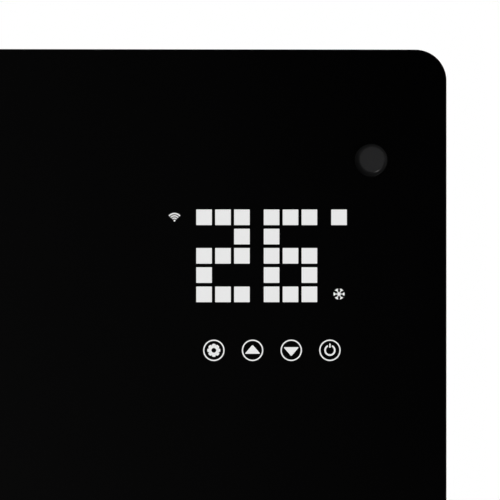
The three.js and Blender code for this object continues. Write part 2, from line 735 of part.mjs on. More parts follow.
function addHeatingSide(panel) {
  const film = plate(rectangle(filmWidth, filmHeight), FILM_THICKNESS);
  const tabs = [0, 1].map((i) =>
    block(FILM_TAB_LENGTH, FILM_TAB_THICKNESS, FILM_TAB_HEIGHT).translate(
      filmWidth / 2 + FILM_TAB_LENGTH / 2 - JOIN_OVERLAP,
      0,
      tabFirstZ + i * FILM_TAB_SPACING,
    ),
  );
  piece(panel, "heating_film", fuse(film, ...tabs), materials.heatingFilm, filmX, filmY, 0);

  const boardTop = casingHeight / 2 - BOARD_TOP_MARGIN;
  const boardBottom = topFootScrewZ + BOARD_SCREW_GAP;
  const boardWidth = bayWallX - BOARD_BAY_GAP - fieldsLeft;
  const boardX = fieldsLeft + boardWidth / 2;
  const boardZ = (boardTop + boardBottom) / 2;
  const boardOutline = roundedRect(boardWidth, boardTop - boardBottom, BOARD_CORNER_R);
  for (const [x, z] of wallBossCentres()) {
    boardOutline.holes.push(disc(BOSS_R + BOARD_BOSS_GAP, x - boardX, z - boardZ));
  }
  const boardY = casingFloorY - FACE_GAP - BOARD_THICKNESS;
  const board = plate(boardOutline, BOARD_THICKNESS, PLATE_STEPS);
  piece(panel, "insulation_board", board, materials.foilBoard, boardX, boardY, boardZ);
}

// The steel wall between the hot side and the electronics bay, with a hole for the film's leads.
function addBayWall(panel) {
  const height = casingHeight - 2 * CASING_SHEET - 2 * FACE_GAP;
  const depth = CASING_DEPTH - 2 * CASING_SHEET - 2 * FACE_GAP;
  const web = block(BAY_WALL_SHEET, depth, height);
  const flange = block(BAY_WALL_FLANGE, BAY_WALL_SHEET, height).translate(
    (BAY_WALL_FLANGE - BAY_WALL_SHEET) / 2,
    depth - BAY_WALL_SHEET,
    0,
  );
  const hole = rod(BAY_WALL_HOLE_R, -BAY_WALL_SHEET * 2, BAY_WALL_SHEET * 2)
    .rotateZ(Math.PI / 2)
    .translate(0, depth / 2, leadPassZ);
  const wall = cut(fuse(web, flange), hole);
  const y = casingFrontY + CASING_SHEET + FACE_GAP;
  piece(panel, "bay_wall", wall, materials.barePlate, bayWallX, y, 0);

  // Overheat cut-out, a bimetal disc switch on the hot face of the wall.
  const body = turned([
    [0, 0],
    [CUTOUT_R, 0],
    [CUTOUT_R, CUTOUT_BODY],
    [CUTOUT_CAP_R, CUTOUT_BODY],
    [CUTOUT_CAP_R, CUTOUT_BODY + CUTOUT_CAP_H],
    [0, CUTOUT_BODY + CUTOUT_CAP_H],
  ], ROUND_STEPS).rotateZ(Math.PI / 2);
  const blades = [-1, 1].map((side) =>
    new THREE.BoxGeometry(BLADE_THICKNESS, BLADE_WIDTH, BLADE_LENGTH).translate(
      -CUTOUT_BODY / 2,
      0,
      side * (CUTOUT_R + BLADE_LENGTH / 2 - JOIN_OVERLAP),
    ),
  );
  const x = bayWallX - BAY_WALL_SHEET / 2;
  const z = casingHeight / 2 - CUTOUT_FROM_TOP;
  piece(panel, "overheat_cutout", fuse(body, ...blades), materials.darkPlastic, x, y + depth / 2, z);
}

// ---------------------------------------------------------------- readout and touch keys

// Centres of the readout's pixels, from the panel's centre.
function pixelCentres() {
  const centres = [];
  for (let digit = 0; digit < DIGIT_COUNT; digit++) {
    for (let column = 0; column < DIGIT_COLUMNS; column++) {
      for (let row = 0; row < DIGIT_ROWS; row++) {
        const x = glassRight - READOUT_FROM_RIGHT + digit * DIGIT_PITCH + column * PIXEL_PITCH_X;
        centres.push([x, glassTop - READOUT_FROM_TOP - row * PIXEL_PITCH_Z]);
      }
    }
  }
  const degreeX = glassRight - READOUT_FROM_RIGHT + DIGIT_COUNT * DIGIT_PITCH;
  centres.push([degreeX, glassTop - READOUT_FROM_TOP]);
  return centres;
}

function iconCentres() {
  return [
    [glassRight - RADIO_ICON_FROM_RIGHT, glassTop - RADIO_ICON_FROM_TOP],
    [glassRight - FLAKE_ICON_FROM_RIGHT, glassTop - FLAKE_ICON_FROM_TOP],
  ];
}

function keyCentres() {
  return Array.from({ length: KEY_COUNT }, (_, i) => [
    glassRight - KEY_FROM_RIGHT - (KEY_COUNT - 1 - i) * KEY_PITCH,
    glassTop - KEY_FROM_TOP,
  ]);
}

const onModule = ([x, z]) => [x - moduleX, z - moduleZ];

function addDisplay(panel) {
  const keys = keyCentres().map(onModule);
  const pixels = pixelCentres().map(onModule);
  const icons = iconCentres().map(onModule);

  const sheet = roundedRect(MODULE_WIDTH, MODULE_HEIGHT, MODULE_CORNER_R);
  keys.forEach(([x, z]) => sheet.holes.push(disc(KEY_COLLAR_R, x, z)));
  const diffuser = plate(sheet, DIFFUSER_THICKNESS, PLATE_STEPS);
  piece(panel, "display_diffuser", diffuser, materials.diffuser, moduleX, diffuserY, moduleZ);

  // Light wells: one drafted shaft to each pixel, wide at the glass and narrow at its LED.
  const wall = plate(sheet, WELL_DEPTH, PLATE_STEPS);
  const shafts = pixels.map(([x, z]) => {
    const wide = rectangle(PIXEL, PIXEL, x, z);
    const narrow = rectangle(WELL_BACK, WELL_BACK, x, z);
    return drafted(wide, -CUT_SLIVER, narrow, WELL_DEPTH + CUT_SLIVER);
  });
  const iconShafts = icons.map(([x, z]) =>
    rod(ICON_WELL_R, -CUT_OVERRUN, WELL_DEPTH + CUT_OVERRUN).translate(x, 0, z),
  );
  const wells = cut(wall, ...shafts, ...iconShafts);
  piece(panel, "display_light_wells", wells, materials.whitePlastic, moduleX, wellsY, moduleZ);

  const circuitOutline = roundedRect(MODULE_WIDTH, MODULE_HEIGHT, MODULE_CORNER_R);
  const circuit = plate(circuitOutline, CIRCUIT_THICKNESS, PLATE_STEPS);
  const leds = [...pixels, ...icons].map(([x, z]) =>
    block(LED_SIZE, LED_HEIGHT + LED_ROOT, LED_SIZE).translate(x, -LED_HEIGHT, z),
  );
  const board = fuse(circuit, ...leds);
  piece(panel, "display_board", board, materials.circuitBoard, moduleX, circuitY, moduleZ);

  // A touch key is a coiled spring that joins the board to the back of the glass.
  const springFrom = glassBackY + RUNNING_GAP + SPRING_WIRE_R;
  const springTo = circuitY - RUNNING_GAP - SPRING_WIRE_R;
  keyCentres().forEach(([x, z], i) => {
    const coil = new Helix(SPRING_R, springFrom, springTo, SPRING_TURNS);
    const spring = sweep(coil, SPRING_WIRE_R, SPRING_TURNS * SPRING_STEPS, SPRING_WIRE_SIDES);
    piece(panel, `touch_spring_${i + 1}`, spring, materials.springSteel, x, 0, z);
  });

  const radio = block(RADIO_WIDTH, RADIO_THICKNESS, RADIO_HEIGHT);
  const radioX = moduleX - MODULE_WIDTH / 2 + RADIO_WIDTH;
  const radioY = circuitY + CIRCUIT_THICKNESS + FACE_GAP;
  piece(panel, "radio_module", radio, materials.zincSteel, radioX, radioY, moduleZ + RADIO_HEIGHT / 2);
}

// ---------------------------------------------------------------- rear cover, power board, switch and gland

function coverScrewCentres() {
  return corners.map(([, sideX, sideZ]) => [
    sideX * (COVER_WIDTH / 2 - COVER_SCREW_INSET),
    sideZ * (COVER_HEIGHT / 2 - COVER_SCREW_INSET),
  ]);
}

function postCentres() {
  return corners.map(([, sideX, sideZ]) => [
    sideX * (powerWidth / 2 - POST_INSET),
    POWER_Z + sideZ * (POWER_HEIGHT / 2 - POST_INSET),
  ]);
}

// The hump drawn in by inset on every side, from y = from to y = to.
function hump(inset, from, to) {
  const width = humpWidth - 2 * inset;
  const height = humpHeight - 2 * inset;
  const radius = HUMP_CORNER_R - inset;
  const base = roundedRect(width, height, radius);
  const draft = HUMP_DRAFT;
  const face = roundedRect(width - 2 * draft, height - 2 * draft, radius - draft);
  return drafted(base, from, face, to);
}

function addCover(cover) {
  const flange = plate(roundedRect(COVER_WIDTH, COVER_HEIGHT, COVER_CORNER_R), COVER_FLANGE);
  const glandPad = block(GLAND_PAD_WIDTH, HUMP_RISE - COVER_WALL, GLAND_PAD_THICKNESS).translate(
    GLAND_X,
    COVER_WALL / 2,
    -humpHeight / 2 + GLAND_PAD_THICKNESS / 2,
  );
  const inside = hump(COVER_WALL, -CUT_SLIVER, humpInsideY);
  const posts = postCentres().flatMap(([x, z]) => [
    rod(POST_R, powerBackY + FACE_GAP, humpInsideY + COVER_WALL / 2, SMALL_STEPS).translate(x, 0, z),
    rod(POST_PIN_R, powerFrontY, powerBackY + JOIN_OVERLAP, SMALL_STEPS).translate(x, 0, z),
  ]);
  const ventOutline = roundedRect(COVER_VENT_LENGTH, COVER_VENT_WIDTH, COVER_VENT_WIDTH / 2);
  const vents = Array.from({ length: COVER_VENT_COUNT }, (_, i) => {
    const z = COVER_VENT_Z + (i - (COVER_VENT_COUNT - 1) / 2) * COVER_VENT_PITCH;
    return plate(ventOutline, 2 * COVER_WALL, SLOT_STEPS).translate(0, HUMP_RISE - 1.5 * COVER_WALL, z);
  });
  const switchWindow = block(
    SWITCH_BODY_WIDTH + 2 * WINDOW_GAP,
    3 * COVER_WALL,
    SWITCH_BODY_HEIGHT + 2 * WINDOW_GAP,
  ).translate(SWITCH_X, HUMP_RISE - 2 * COVER_WALL, SWITCH_Z);
  const glandHoleR = GLAND_THREAD_R + WINDOW_GAP;
  const glandHole = rod(glandHoleR, -2 * GLAND_PAD_THICKNESS, 2 * GLAND_PAD_THICKNESS, GLAND_STEPS)
    .rotateX(Math.PI / 2)
    .translate(GLAND_X, glandY, -humpHeight / 2);
  const screwHoles = coverScrewCentres().map(([x, z]) =>
    rod(COVER_SCREW_R + WINDOW_GAP, -CUT_OVERRUN, 2 * COVER_FLANGE).translate(x, 0, z),
  );
  const shell = cut(fuse(flange, hump(0, COVER_FLANGE / 2, HUMP_RISE)), inside);
  const moulded = fuse(shell, glandPad, ...posts);
  const shape = cut(moulded, ...vents, switchWindow, glandHole, ...screwHoles);
  piece(cover, "rear_cover", shape, materials.darkPlastic);

  corners.forEach(([corner], i) => {
    const [x, z] = coverScrewCentres()[i];
    const fixing = screw(COVER_SCREW_R, COVER_SCREW_LENGTH, COVER_HEAD_R, COVER_HEAD_H);
    piece(cover, `cover_screw_${corner}`, fixing, materials.zincSteel, x, COVER_FLANGE, z);
  });
}

function addPowerBoard(cover) {
  const outline = rectangle(powerWidth, POWER_HEIGHT, 0, 0);
  for (const [x, z] of postCentres()) {
    outline.holes.push(disc(POST_PIN_R + WINDOW_GAP, x, z - POWER_Z));
  }
  const board = plate(outline, CIRCUIT_THICKNESS);
  piece(cover, "power_board", board, materials.circuitBoard, 0, powerFrontY, POWER_Z);

  const standing = ([width, depth, height]) => block(width, depth, height);
  const place = ([x, z], [, depth]) => [x, powerFrontY - depth, POWER_Z + z];
  const relay = standing(RELAY_SIZE);
  piece(cover, "heater_relay", relay, materials.darkPlastic, ...place(RELAY_AT, RELAY_SIZE));
  const transformer = standing(TRANSFORMER_SIZE);
  const at = place(TRANSFORMER_AT, TRANSFORMER_SIZE);
  piece(cover, "transformer", transformer, materials.darkPlastic, ...at);

  // Terminal block, with one wire entry to each way in its lower face.
  const [width, depth, height] = TERMINAL_SIZE;
  const entries = Array.from({ length: TERMINAL_WAYS }, (_, i) =>
    rod(TERMINAL_HOLE_R, -TERMINAL_HOLE_DEPTH, TERMINAL_HOLE_DEPTH, SMALL_STEPS)
      .rotateX(Math.PI / 2)
      .translate(terminalWayX(i), depth / 2, -height / 2),
  );
  const terminal = cut(standing(TERMINAL_SIZE), ...entries);
  const terminalAt = place(TERMINAL_AT, TERMINAL_SIZE);
  piece(cover, "terminal_block", terminal, materials.whitePlastic, ...terminalAt);
}

// Rocker side view about its pivot, in Y out of the cover and Z up, before it is tilted. When either
// half is pressed it lies level with the bezel, so each half slopes by the tilt.
function rockerOutline() {
  const tilt = rad(ROCKER_TILT);
  const reach = ROCKER_WELL_HEIGHT / 2 - RUNNING_GAP;
  const tip = new THREE.Vector2(reach, ROCKER_PIVOT_DEPTH).rotateAround(new THREE.Vector2(), tilt);
  const heel = new THREE.Vector2(reach, -ROCKER_HEEL_DEPTH).rotateAround(new THREE.Vector2(), tilt);
  const valley = ROCKER_PIVOT_DEPTH / Math.cos(tilt);
  const shape = new THREE.Shape();
  shape.moveTo(valley, 0);
  shape.lineTo(tip.y, tip.x);
  shape.lineTo(heel.y, heel.x);
  shape.lineTo(-ROCKER_KEEL_DEPTH, ROCKER_KEEL_HALF);
  shape.lineTo(-ROCKER_KEEL_DEPTH, -ROCKER_KEEL_HALF);
  shape.lineTo(heel.y, -heel.x);
  shape.lineTo(tip.y, -tip.x);
  return shape;
}

function addSwitch(cover) {
  const bezel = plate(roundedRect(BEZEL_WIDTH, BEZEL_HEIGHT, BEZEL_CORNER_R), BEZEL_THICKNESS, PLATE_STEPS);
  const bodyDepth = SWITCH_BODY_DEPTH + JOIN_OVERLAP;
  const body = block(SWITCH_BODY_WIDTH, bodyDepth, SWITCH_BODY_HEIGHT).translate(0, -SWITCH_BODY_DEPTH, 0);
  const wellFloorY = BEZEL_THICKNESS - ROCKER_WELL_DEPTH;
  const wellDepth = ROCKER_WELL_DEPTH + CUT_OVERRUN;
  const well = block(ROCKER_WELL_WIDTH, wellDepth, ROCKER_WELL_HEIGHT).translate(0, wellFloorY, 0);
  const pivotY = BEZEL_THICKNESS - ROCKER_PIVOT_DEPTH;
  const seatLength = ROCKER_WELL_WIDTH / 2 + TRUNNION_LENGTH;
  const trunnionSeat = rod(TRUNNION_R + RUNNING_GAP, -seatLength, seatLength)
    .rotateZ(Math.PI / 2)
    .translate(0, pivotY, 0);
  const blades = [-1, 0, 1].map((row) =>
    block(BLADE_WIDTH, BLADE_LENGTH + JOIN_OVERLAP, BLADE_THICKNESS).translate(
      0,
      -SWITCH_BODY_DEPTH - BLADE_LENGTH,
      row * (SWITCH_BODY_HEIGHT / 3),
    ),
  );
  const frame = cut(fuse(bezel, body, ...blades), well, trunnionSeat);
  const y = HUMP_RISE;
  piece(cover, "switch_frame", frame, materials.darkPlastic, SWITCH_X, y, SWITCH_Z);

  const rockerWidth = ROCKER_WELL_WIDTH - 2 * RUNNING_GAP;
  const pinHalf = seatLength - RUNNING_GAP;
  const trunnions = rod(TRUNNION_R, -pinHalf, pinHalf).rotateZ(Math.PI / 2);
  const rocker = fuse(bar(rockerOutline(), rockerWidth), trunnions);
  const mesh = piece(cover, "switch_rocker", rocker, materials.darkPlastic, SWITCH_X, y + pivotY, SWITCH_Z);
  mesh.rotation.x = rad(ROCKER_TILT); // upper half pressed: on
}

// Gland: a hexagon against the cover, a domed nut below it and a thread up through the pad.
function addGland(cover) {
  const hexTop = -GLAND_HEX_LENGTH;
  const neckEnd = hexTop - GLAND_NECK;
  const nutEnd = neckEnd - GLAND_NUT_LENGTH;
  const core = turned([
    [GLAND_BORE_R, nutEnd - GLAND_DOME_LENGTH],
    [GLAND_DOME_R, nutEnd - GLAND_DOME_LENGTH],
    [GLAND_THREAD_R, nutEnd],
    [GLAND_THREAD_R, GLAND_THREAD_LENGTH],
    [GLAND_BORE_R, GLAND_THREAD_LENGTH],
    [GLAND_BORE_R, nutEnd - GLAND_DOME_LENGTH],
  ], GLAND_STEPS);
  const bore = rod(GLAND_BORE_R, nutEnd - 2 * GLAND_DOME_LENGTH, 2 * GLAND_THREAD_LENGTH, GLAND_STEPS);
  const hex = hexagon(glandHexR, hexTop, 0);
  const nut = hexagon(glandHexR, nutEnd, neckEnd);
  const body = cut(fuse(core, hex, nut), bore).rotateX(Math.PI / 2);
  const seatZ = -humpHeight / 2;
  piece(cover, "cable_gland", body, materials.darkPlastic, GLAND_X, glandY, seatZ);

  const nutBore = rod(
    GLAND_THREAD_R + WINDOW_GAP,
    -CUT_OVERRUN,
    LOCK_NUT_LENGTH + CUT_OVERRUN,
    GLAND_STEPS,
  );
  const ring = cut(hexagon(glandHexR, 0, LOCK_NUT_LENGTH), nutBore).rotateX(Math.PI / 2);
  const nutZ = seatZ + GLAND_PAD_THICKNESS;
  piece(cover, "gland_lock_nut", ring, materials.zincSteel, GLAND_X, glandY, nutZ);
}

// ---------------------------------------------------------------- wiring

// Each route runs from one connection to another. The offsets between them are its bends.
function addWiring(panel) {
  const terminalX = coverX + TERMINAL_AT[0];
  const terminalY = coverY + powerFrontY - TERMINAL_SIZE[1] / 2;
  const terminalBottomZ = coverZ + POWER_Z + TERMINAL_AT[1] - TERMINAL_SIZE[2] / 2;
  const entryZ = terminalBottomZ + TERMINAL_HOLE_DEPTH - RUNNING_GAP;
  const bendZ = entryZ - TERMINAL_HOLE_DEPTH - LEAD_DROP;
  const lead = (name, points, radius = LEAD_R) =>
    piece(panel, name, wire(points, radius, WIRE_STEP), materials.wire);

  // From the film's tabs, through the bay wall, to the middle two ways of the terminal block.
  const tabEndX = filmX + filmWidth / 2 + FILM_TAB_LENGTH - JOIN_OVERLAP + RUNNING_GAP;
  const tabY = filmY + FILM_TAB_THICKNESS + LEAD_R;
  for (const [name, side, way] of [["film_lead_lower", -1, 2], ["film_lead_upper", 1, 1]]) {
    const tabZ = leadPassZ + (side * FILM_TAB_SPACING) / 2;
    const holeZ = leadPassZ + side * LEAD_SPREAD;
    const wayX = terminalX + terminalWayX(way);
    lead(name, [
      [tabEndX, tabY, tabZ],
      [tabEndX + 5, tabY + 3, tabZ - side * 4],
      [bayWallX - 3, leadPassY, holeZ],
      [bayWallX + 12, leadPassY, holeZ],
      [wayX - 8, leadPassY, bendZ - 6],
      [wayX, terminalY, bendZ + 6],
      [wayX, terminalY, entryZ],
    ]);
  }

  // From the switch's upper blade to the first way.
  const bladeX = coverX + SWITCH_X;
  const bladeEndY = coverY + HUMP_RISE - SWITCH_BODY_DEPTH - BLADE_LENGTH - RUNNING_GAP;
  const bladeZ = coverZ + SWITCH_Z + SWITCH_BODY_HEIGHT / 3;
  const firstWayX = terminalX + terminalWayX(0);
  lead("switch_lead", [
    [bladeX, bladeEndY, bladeZ],
    [bladeX, bladeEndY - 3, bladeZ],
    [bladeX + 4, bladeEndY - 3, bladeZ + 12],
    [firstWayX - 4, terminalY - 2, bendZ + 2],
    [firstWayX, terminalY, bendZ + 9],
    [firstWayX, terminalY, entryZ],
  ]);

  // From the display board down to the power board.
  const cableX = coverX - powerWidth / 4;
  const boardBackY = circuitY + CIRCUIT_THICKNESS + RUNNING_GAP;
  const powerTopZ = coverZ + POWER_Z + POWER_HEIGHT / 2;
  const moduleBottomZ = moduleZ - MODULE_HEIGHT / 2;
  const powerFaceY = coverY + powerFrontY - RUNNING_GAP;
  lead("display_cable", [
    [cableX, boardBackY, moduleBottomZ + 8],
    [cableX, boardBackY + 4, moduleBottomZ + 8],
    [cableX, boardBackY + 8, moduleBottomZ - 12],
    [cableX, boardBackY + 10, powerTopZ + 4],
    [cableX, powerFaceY - 4, powerTopZ - 14],
    [cableX, powerFaceY, powerTopZ - 14],
  ], CABLE_R);
}

// ---------------------------------------------------------------- safety devices low in the bay

function addSafetyDevices(panel) {
  const [width, depth, height] = TILT_SWITCH_SIZE;
  const tiltZ = insideBottom + FACE_GAP + height / 2;
  const tiltY = casingFloorY - FACE_GAP - depth;
  const tiltX = bayWallX + TILT_SWITCH_FROM_WALL;
  piece(panel, "tip_over_switch", block(width, depth, height), materials.darkPlastic, tiltX, tiltY, tiltZ);

  // Room temperature sensor: a bead on a foot, over the bottom wall.
  const [footWidth, footDepth, footHeight] = AIR_SENSOR_FOOT;
  const foot = block(footWidth, footDepth, footHeight).translate(0, -footDepth / 2, footHeight / 2);
  const bead = rod(AIR_SENSOR_R, footHeight / 2, AIR_SENSOR_LENGTH).rotateX(Math.PI / 2);
  const sensor = fuse(foot, bead);
  const sensorX = glassRight - AIR_SENSOR_FROM_RIGHT;
  const sensorY = casingFrontY + CASING_DEPTH / 2;
  piece(panel, "air_sensor", sensor, materials.whitePlastic, sensorX, sensorY, insideBottom);
}

// ---------------------------------------------------------------- feet

// Side view of a foot about the floor: an arched bar with flat toes and an upright behind the casing.
function footOutline(uprightTop) {
  const half = FOOT_DEPTH / 2;
  const under = PAD_THICKNESS;
  const crown = under + FOOT_ARCH_RISE;
  const top = crown + FOOT_BAR;
  const toe = half - FOOT_TOE;
  const leave = toe / ARCH_TOE_EASE;
  const meet = toe / ARCH_CROWN_EASE;
  const front = casingBackY + FACE_GAP;
  const back = front + FOOT_UPRIGHT;
  const round = FOOT_BAR / 2;
  const shape = new THREE.Shape();
  shape.moveTo(-half + round, under);
  shape.lineTo(-toe, under);
  shape.bezierCurveTo(-toe / 2, under, -toe / 2, crown, 0, crown);
  shape.bezierCurveTo(toe / 2, crown, toe / 2, under, toe, under);
  shape.lineTo(half - round, under);
  shape.absarc(half - round, under + round, round, -Math.PI / 2, Math.PI / 2);
  shape.lineTo(toe, under + FOOT_BAR);
  shape.bezierCurveTo(leave, under + FOOT_BAR, meet, top, back + FOOT_FILLET, top);
  shape.absarc(back + FOOT_FILLET, top + FOOT_FILLET, FOOT_FILLET, 1.5 * Math.PI, Math.PI, true);
  shape.lineTo(back, uprightTop);
  shape.lineTo(front, uprightTop);
  shape.absarc(front - FOOT_FILLET, top + FOOT_FILLET, FOOT_FILLET, 0, -Math.PI / 2, true);
  shape.bezierCurveTo(-meet, top, -leave, under + FOOT_BAR, -toe, under + FOOT_BAR);
  shape.lineTo(-half + round, under + FOOT_BAR);
  shape.absarc(-half + round, under + round, round, Math.PI / 2, 1.5 * Math.PI);
  return shape;
}

function addFeet(heater) {
  const casingBottomZ = panelZ + casingBottom;
  const uprightTop = casingBottomZ + FOOT_OVERLAP;
  const backFace = casingBackY + FACE_GAP + FOOT_UPRIGHT;
  const strip = bar(footOutline(uprightTop), FOOT_WIDTH, FOOT_STEPS);
  const plan = plate(roundedRect(FOOT_WIDTH, FOOT_DEPTH, FOOT_CORNER_R), 2 * uprightTop)
    .rotateX(-Math.PI / 2)
    .translate(0, 0, 2 * uprightTop);
  const rear = plate(roundedRect(FOOT_WIDTH, 2 * uprightTop, FOOT_CORNER_R), FOOT_DEPTH).translate(
    0,
    -FOOT_DEPTH / 2,
    0,
  );
  const holeR = FIXING_SCREW_R + RUNNING_GAP;
  const holes = footScrewHeights().map((z) =>
    rod(holeR, backFace - 2 * FOOT_UPRIGHT, backFace + CUT_OVERRUN).translate(0, 0, panelZ + z),
  );
  const foot = cut(common(strip, plan, rear), ...holes);
  const padWidth = FOOT_WIDTH - 2 * PAD_MARGIN;
  const pad = plate(roundedRect(padWidth, PAD_LENGTH, FOOT_CORNER_R - PAD_MARGIN), PAD_THICKNESS, PLATE_STEPS)
    .rotateX(-Math.PI / 2)
    .translate(0, 0, PAD_THICKNESS);
  const padY = FOOT_DEPTH / 2 - PAD_MARGIN - PAD_LENGTH / 2;
  for (const [side, sign] of [["left", -1], ["right", 1]]) {
    const x = sign * footX;
    piece(heater, `foot_${side}`, foot, materials.powderCoat, x, 0, 0);
    for (const [end, direction] of [["front", -1], ["rear", 1]]) {
      piece(heater, `foot_pad_${side}_${end}`, pad, materials.rubber, x, direction * padY, 0);
    }
    footScrewHeights().forEach((z, i) => {
      const fixing = screw(FIXING_SCREW_R, FOOT_SCREW_LENGTH, FIXING_HEAD_R, FIXING_HEAD_H);
      const name = `foot_screw_${side}_${i ? "upper" : "lower"}`;
      piece(heater, name, fixing, materials.zincSteel, x, backFace, panelZ + z);
    });
  }
}

// ---------------------------------------------------------------- assembly

const heater = new THREE.Group();
const panel = new THREE.Group();
panel.position.z = panelZ;
heater.add(panel);
const cover = new THREE.Group();
cover.position.set(coverX, coverY, coverZ);
panel.add(cover);

addGlass(panel);
addGlassFixings(panel);
addHeatingSide(panel);
addBayWall(panel);
addDisplay(panel);
addSafetyDevices(panel);
addCasing(panel);
addCover(cover);
addPowerBoard(cover);
addSwitch(cover);
addGland(cover);
addWiring(panel);
addFeet(heater);

export default heater;
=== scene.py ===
"""Infrared panel heater: the looks of its glass front, display, casing, cover and feet."""

import math

import bmesh
import bpy
from bpy.props import FloatProperty, FloatVectorProperty, IntProperty, PointerProperty
from bpy.types import Operator, Panel, PropertyGroup
from mathutils import Matrix, Vector


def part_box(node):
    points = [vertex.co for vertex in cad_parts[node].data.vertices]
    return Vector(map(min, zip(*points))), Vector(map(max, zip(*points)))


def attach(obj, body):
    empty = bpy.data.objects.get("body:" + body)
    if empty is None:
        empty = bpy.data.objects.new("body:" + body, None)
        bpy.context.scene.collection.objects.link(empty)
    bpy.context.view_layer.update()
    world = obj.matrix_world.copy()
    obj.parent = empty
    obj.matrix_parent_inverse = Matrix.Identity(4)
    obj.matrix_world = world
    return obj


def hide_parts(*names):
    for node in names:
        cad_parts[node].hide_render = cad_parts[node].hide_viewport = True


bl_info = {
    "name": "Infrared panel heater",
    "version": (1, 0, 0),
    "blender": (4, 5, 0),
    "location": "3D View > Sidebar > Heater",
    "description": "Builds the glass front, display, casing, cover and feet of a panel heater",
    "category": "Add Mesh",
}

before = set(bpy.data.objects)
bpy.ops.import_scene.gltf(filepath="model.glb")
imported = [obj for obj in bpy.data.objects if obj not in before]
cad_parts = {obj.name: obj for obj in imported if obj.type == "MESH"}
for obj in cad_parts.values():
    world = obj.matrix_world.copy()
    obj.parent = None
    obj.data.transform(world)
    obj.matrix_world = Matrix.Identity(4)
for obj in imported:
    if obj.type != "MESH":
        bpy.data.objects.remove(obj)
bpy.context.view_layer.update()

MM = 0.001
FACING_FRONT = Matrix.Rotation(math.radians(90), 4, "X")
FACING_BACK = Matrix(((-1, 0, 0, 0), (0, 0, 1, 0), (0, 1, 0, 0), (0, 0, 0, 1)))
FACING_DOWN = Matrix.Rotation(math.pi, 4, "X")
CORNERS = ("top_left", "top_right", "bottom_left", "bottom_right")

glass_low, glass_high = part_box("glass_panel")
casing_low, casing_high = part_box("rear_casing")
cover_low, cover_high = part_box("rear_cover")

LIT_DIGITS = (
    ("###", "..#", "###", "#..", "###"),
    ("###", "#..", "###", "#.#", "###"),
)

# Places on the glass, from its right and top edges
FIRST_PIXEL = (121.34 * MM, 83.97 * MM)
RADIO_ICON = (136.12 * MM, 85.62 * MM)
FROST_ICON = (53.83 * MM, 122.34 * MM)
LAST_KEY = (58.4 * MM, 150.47 * MM)
VIEW_CENTRE = (98.38 * MM, 100.32 * MM)

INLAY = 0.05 * MM  # how far a lit window stands above and below the glass's front face
WELD = 0.002 * MM  # vertices closer than this are one
SMOOTH_BELOW = math.radians(33)
ROUNDEST = 0.499  # largest corner radius, as a share of the shorter side


def box_middle(node):
    low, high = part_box(node)
    return (low + high) / 2


def on_glass(right, top):
    """A point of the glass front, from its distances to the right and top edges."""
    return glass_high.x - right, glass_high.z - top


# Sizes and colours that a user may change


def length(name, description, millimetres):
    size = millimetres * MM
    return FloatProperty(name=name, description=description, default=size, subtype="DISTANCE")


def tone(name, description, *level):
    looks = {"name": name, "description": description, "default": level}
    return FloatVectorProperty(**looks, size=3, subtype="COLOR")


class HeaterGlass(PropertyGroup):
    corner_radius: length("Corner radius", "Radius of the four corners of the glass", 15.6)
    ground_edge: length("Ground edge", "Width of the bevel along the glass's edges", 0.35)
    hole_radius: length("Hole radius", "Radius of the four holes for the caps", 5.2)
    colour: tone("Glass colour", "Colour of the enamelled glass", 0.0002, 0.0002, 0.00022)
    cap_radius: length("Cap radius", "Radius of a cap where it meets the glass", 8.1)
    cap_shift: length("Cap shift", "How far a cap sits nearer the middle than its spacer", 0.5)
    cap_shoulder: length("Cap shoulder", "Width of the shoulder round a cap's flat face", 2.25)
    cap_shoulder_rise: length("Cap shoulder rise", "Height of the shoulder of a cap", 3.6)
    cap_colour: tone("Cap colour", "Colour of the caps' satin face", 0.0082, 0.0082, 0.0084)
    # The shoulder colour is painted shade: darker than the face because the round shoulder turns
    # away from the light
    painted_shoulder_shade: tone("Shoulder colour", "Colour of the shoulder", 0.0014, 0.0014, 0.0015)


class HeaterDisplay(PropertyGroup):
    pixel: length("Pixel", "Side of one square of the readout", 7.8)
    pixel_pitch_x: length("Pixel pitch across", "Distance between pixels in a row", 9.46)
    pixel_pitch_z: length("Pixel pitch down", "Distance between pixels in a column", 9.63)
    digit_pitch: length("Digit pitch", "Distance from one digit to the next", 33.75)
    key_radius: length("Key radius", "Outer radius of the ring round a touch key", 5.35)
    key_ring: length("Key ring width", "Width of the ring round a touch key", 0.62)
    key_pitch: length("Key pitch", "Distance between the centres of two keys", 19.35)
    key_count: IntProperty(name="Keys", description="Number of keys in the row", default=4)
    light: tone("Light colour", "Colour of the lit windows and keys", 0.78, 0.78, 0.78)


class HeaterBody(PropertyGroup):
    coat: tone("Powder coat", "Colour of the casing and the feet", 0.013, 0.013, 0.014)
    plastic: tone("Black plastic", "Colour of the cover and the switch", 0.013, 0.013, 0.014)
    sheet: length("Casing sheet", "Thickness of the casing's steel sheet", 1.2)
    fold: length("Fold", "Width of the rounding along the casing's folds", 1.6)
    cover_wall: length("Cover wall", "Wall thickness of the rear cover", 2.2)
    cover_rounding: length("Cover rounding", "Width of the rounding along the raised face", 2.4)
    cover_vents: IntProperty(name="Cover vents", description="Slots in the cover", default=9)
    marks: tone("Switch marks", "Colour of the marks on the switch", 0.75, 0.75, 0.73)


class HeaterStage(PropertyGroup):
    floor: tone("Floor colour", "Colour of the floor round the heater", 0.8, 0.8, 0.8)
    fill: FloatProperty(
        name="Fill",
        description="Level of the even light from all round",
        default=0.5,
        min=0.0,
    )
    lens: FloatProperty(
        name="Lens",
        description="Focal length of the camera, in millimetres on a 36 mm sensor",
        default=50.0,
    )


# Node trees


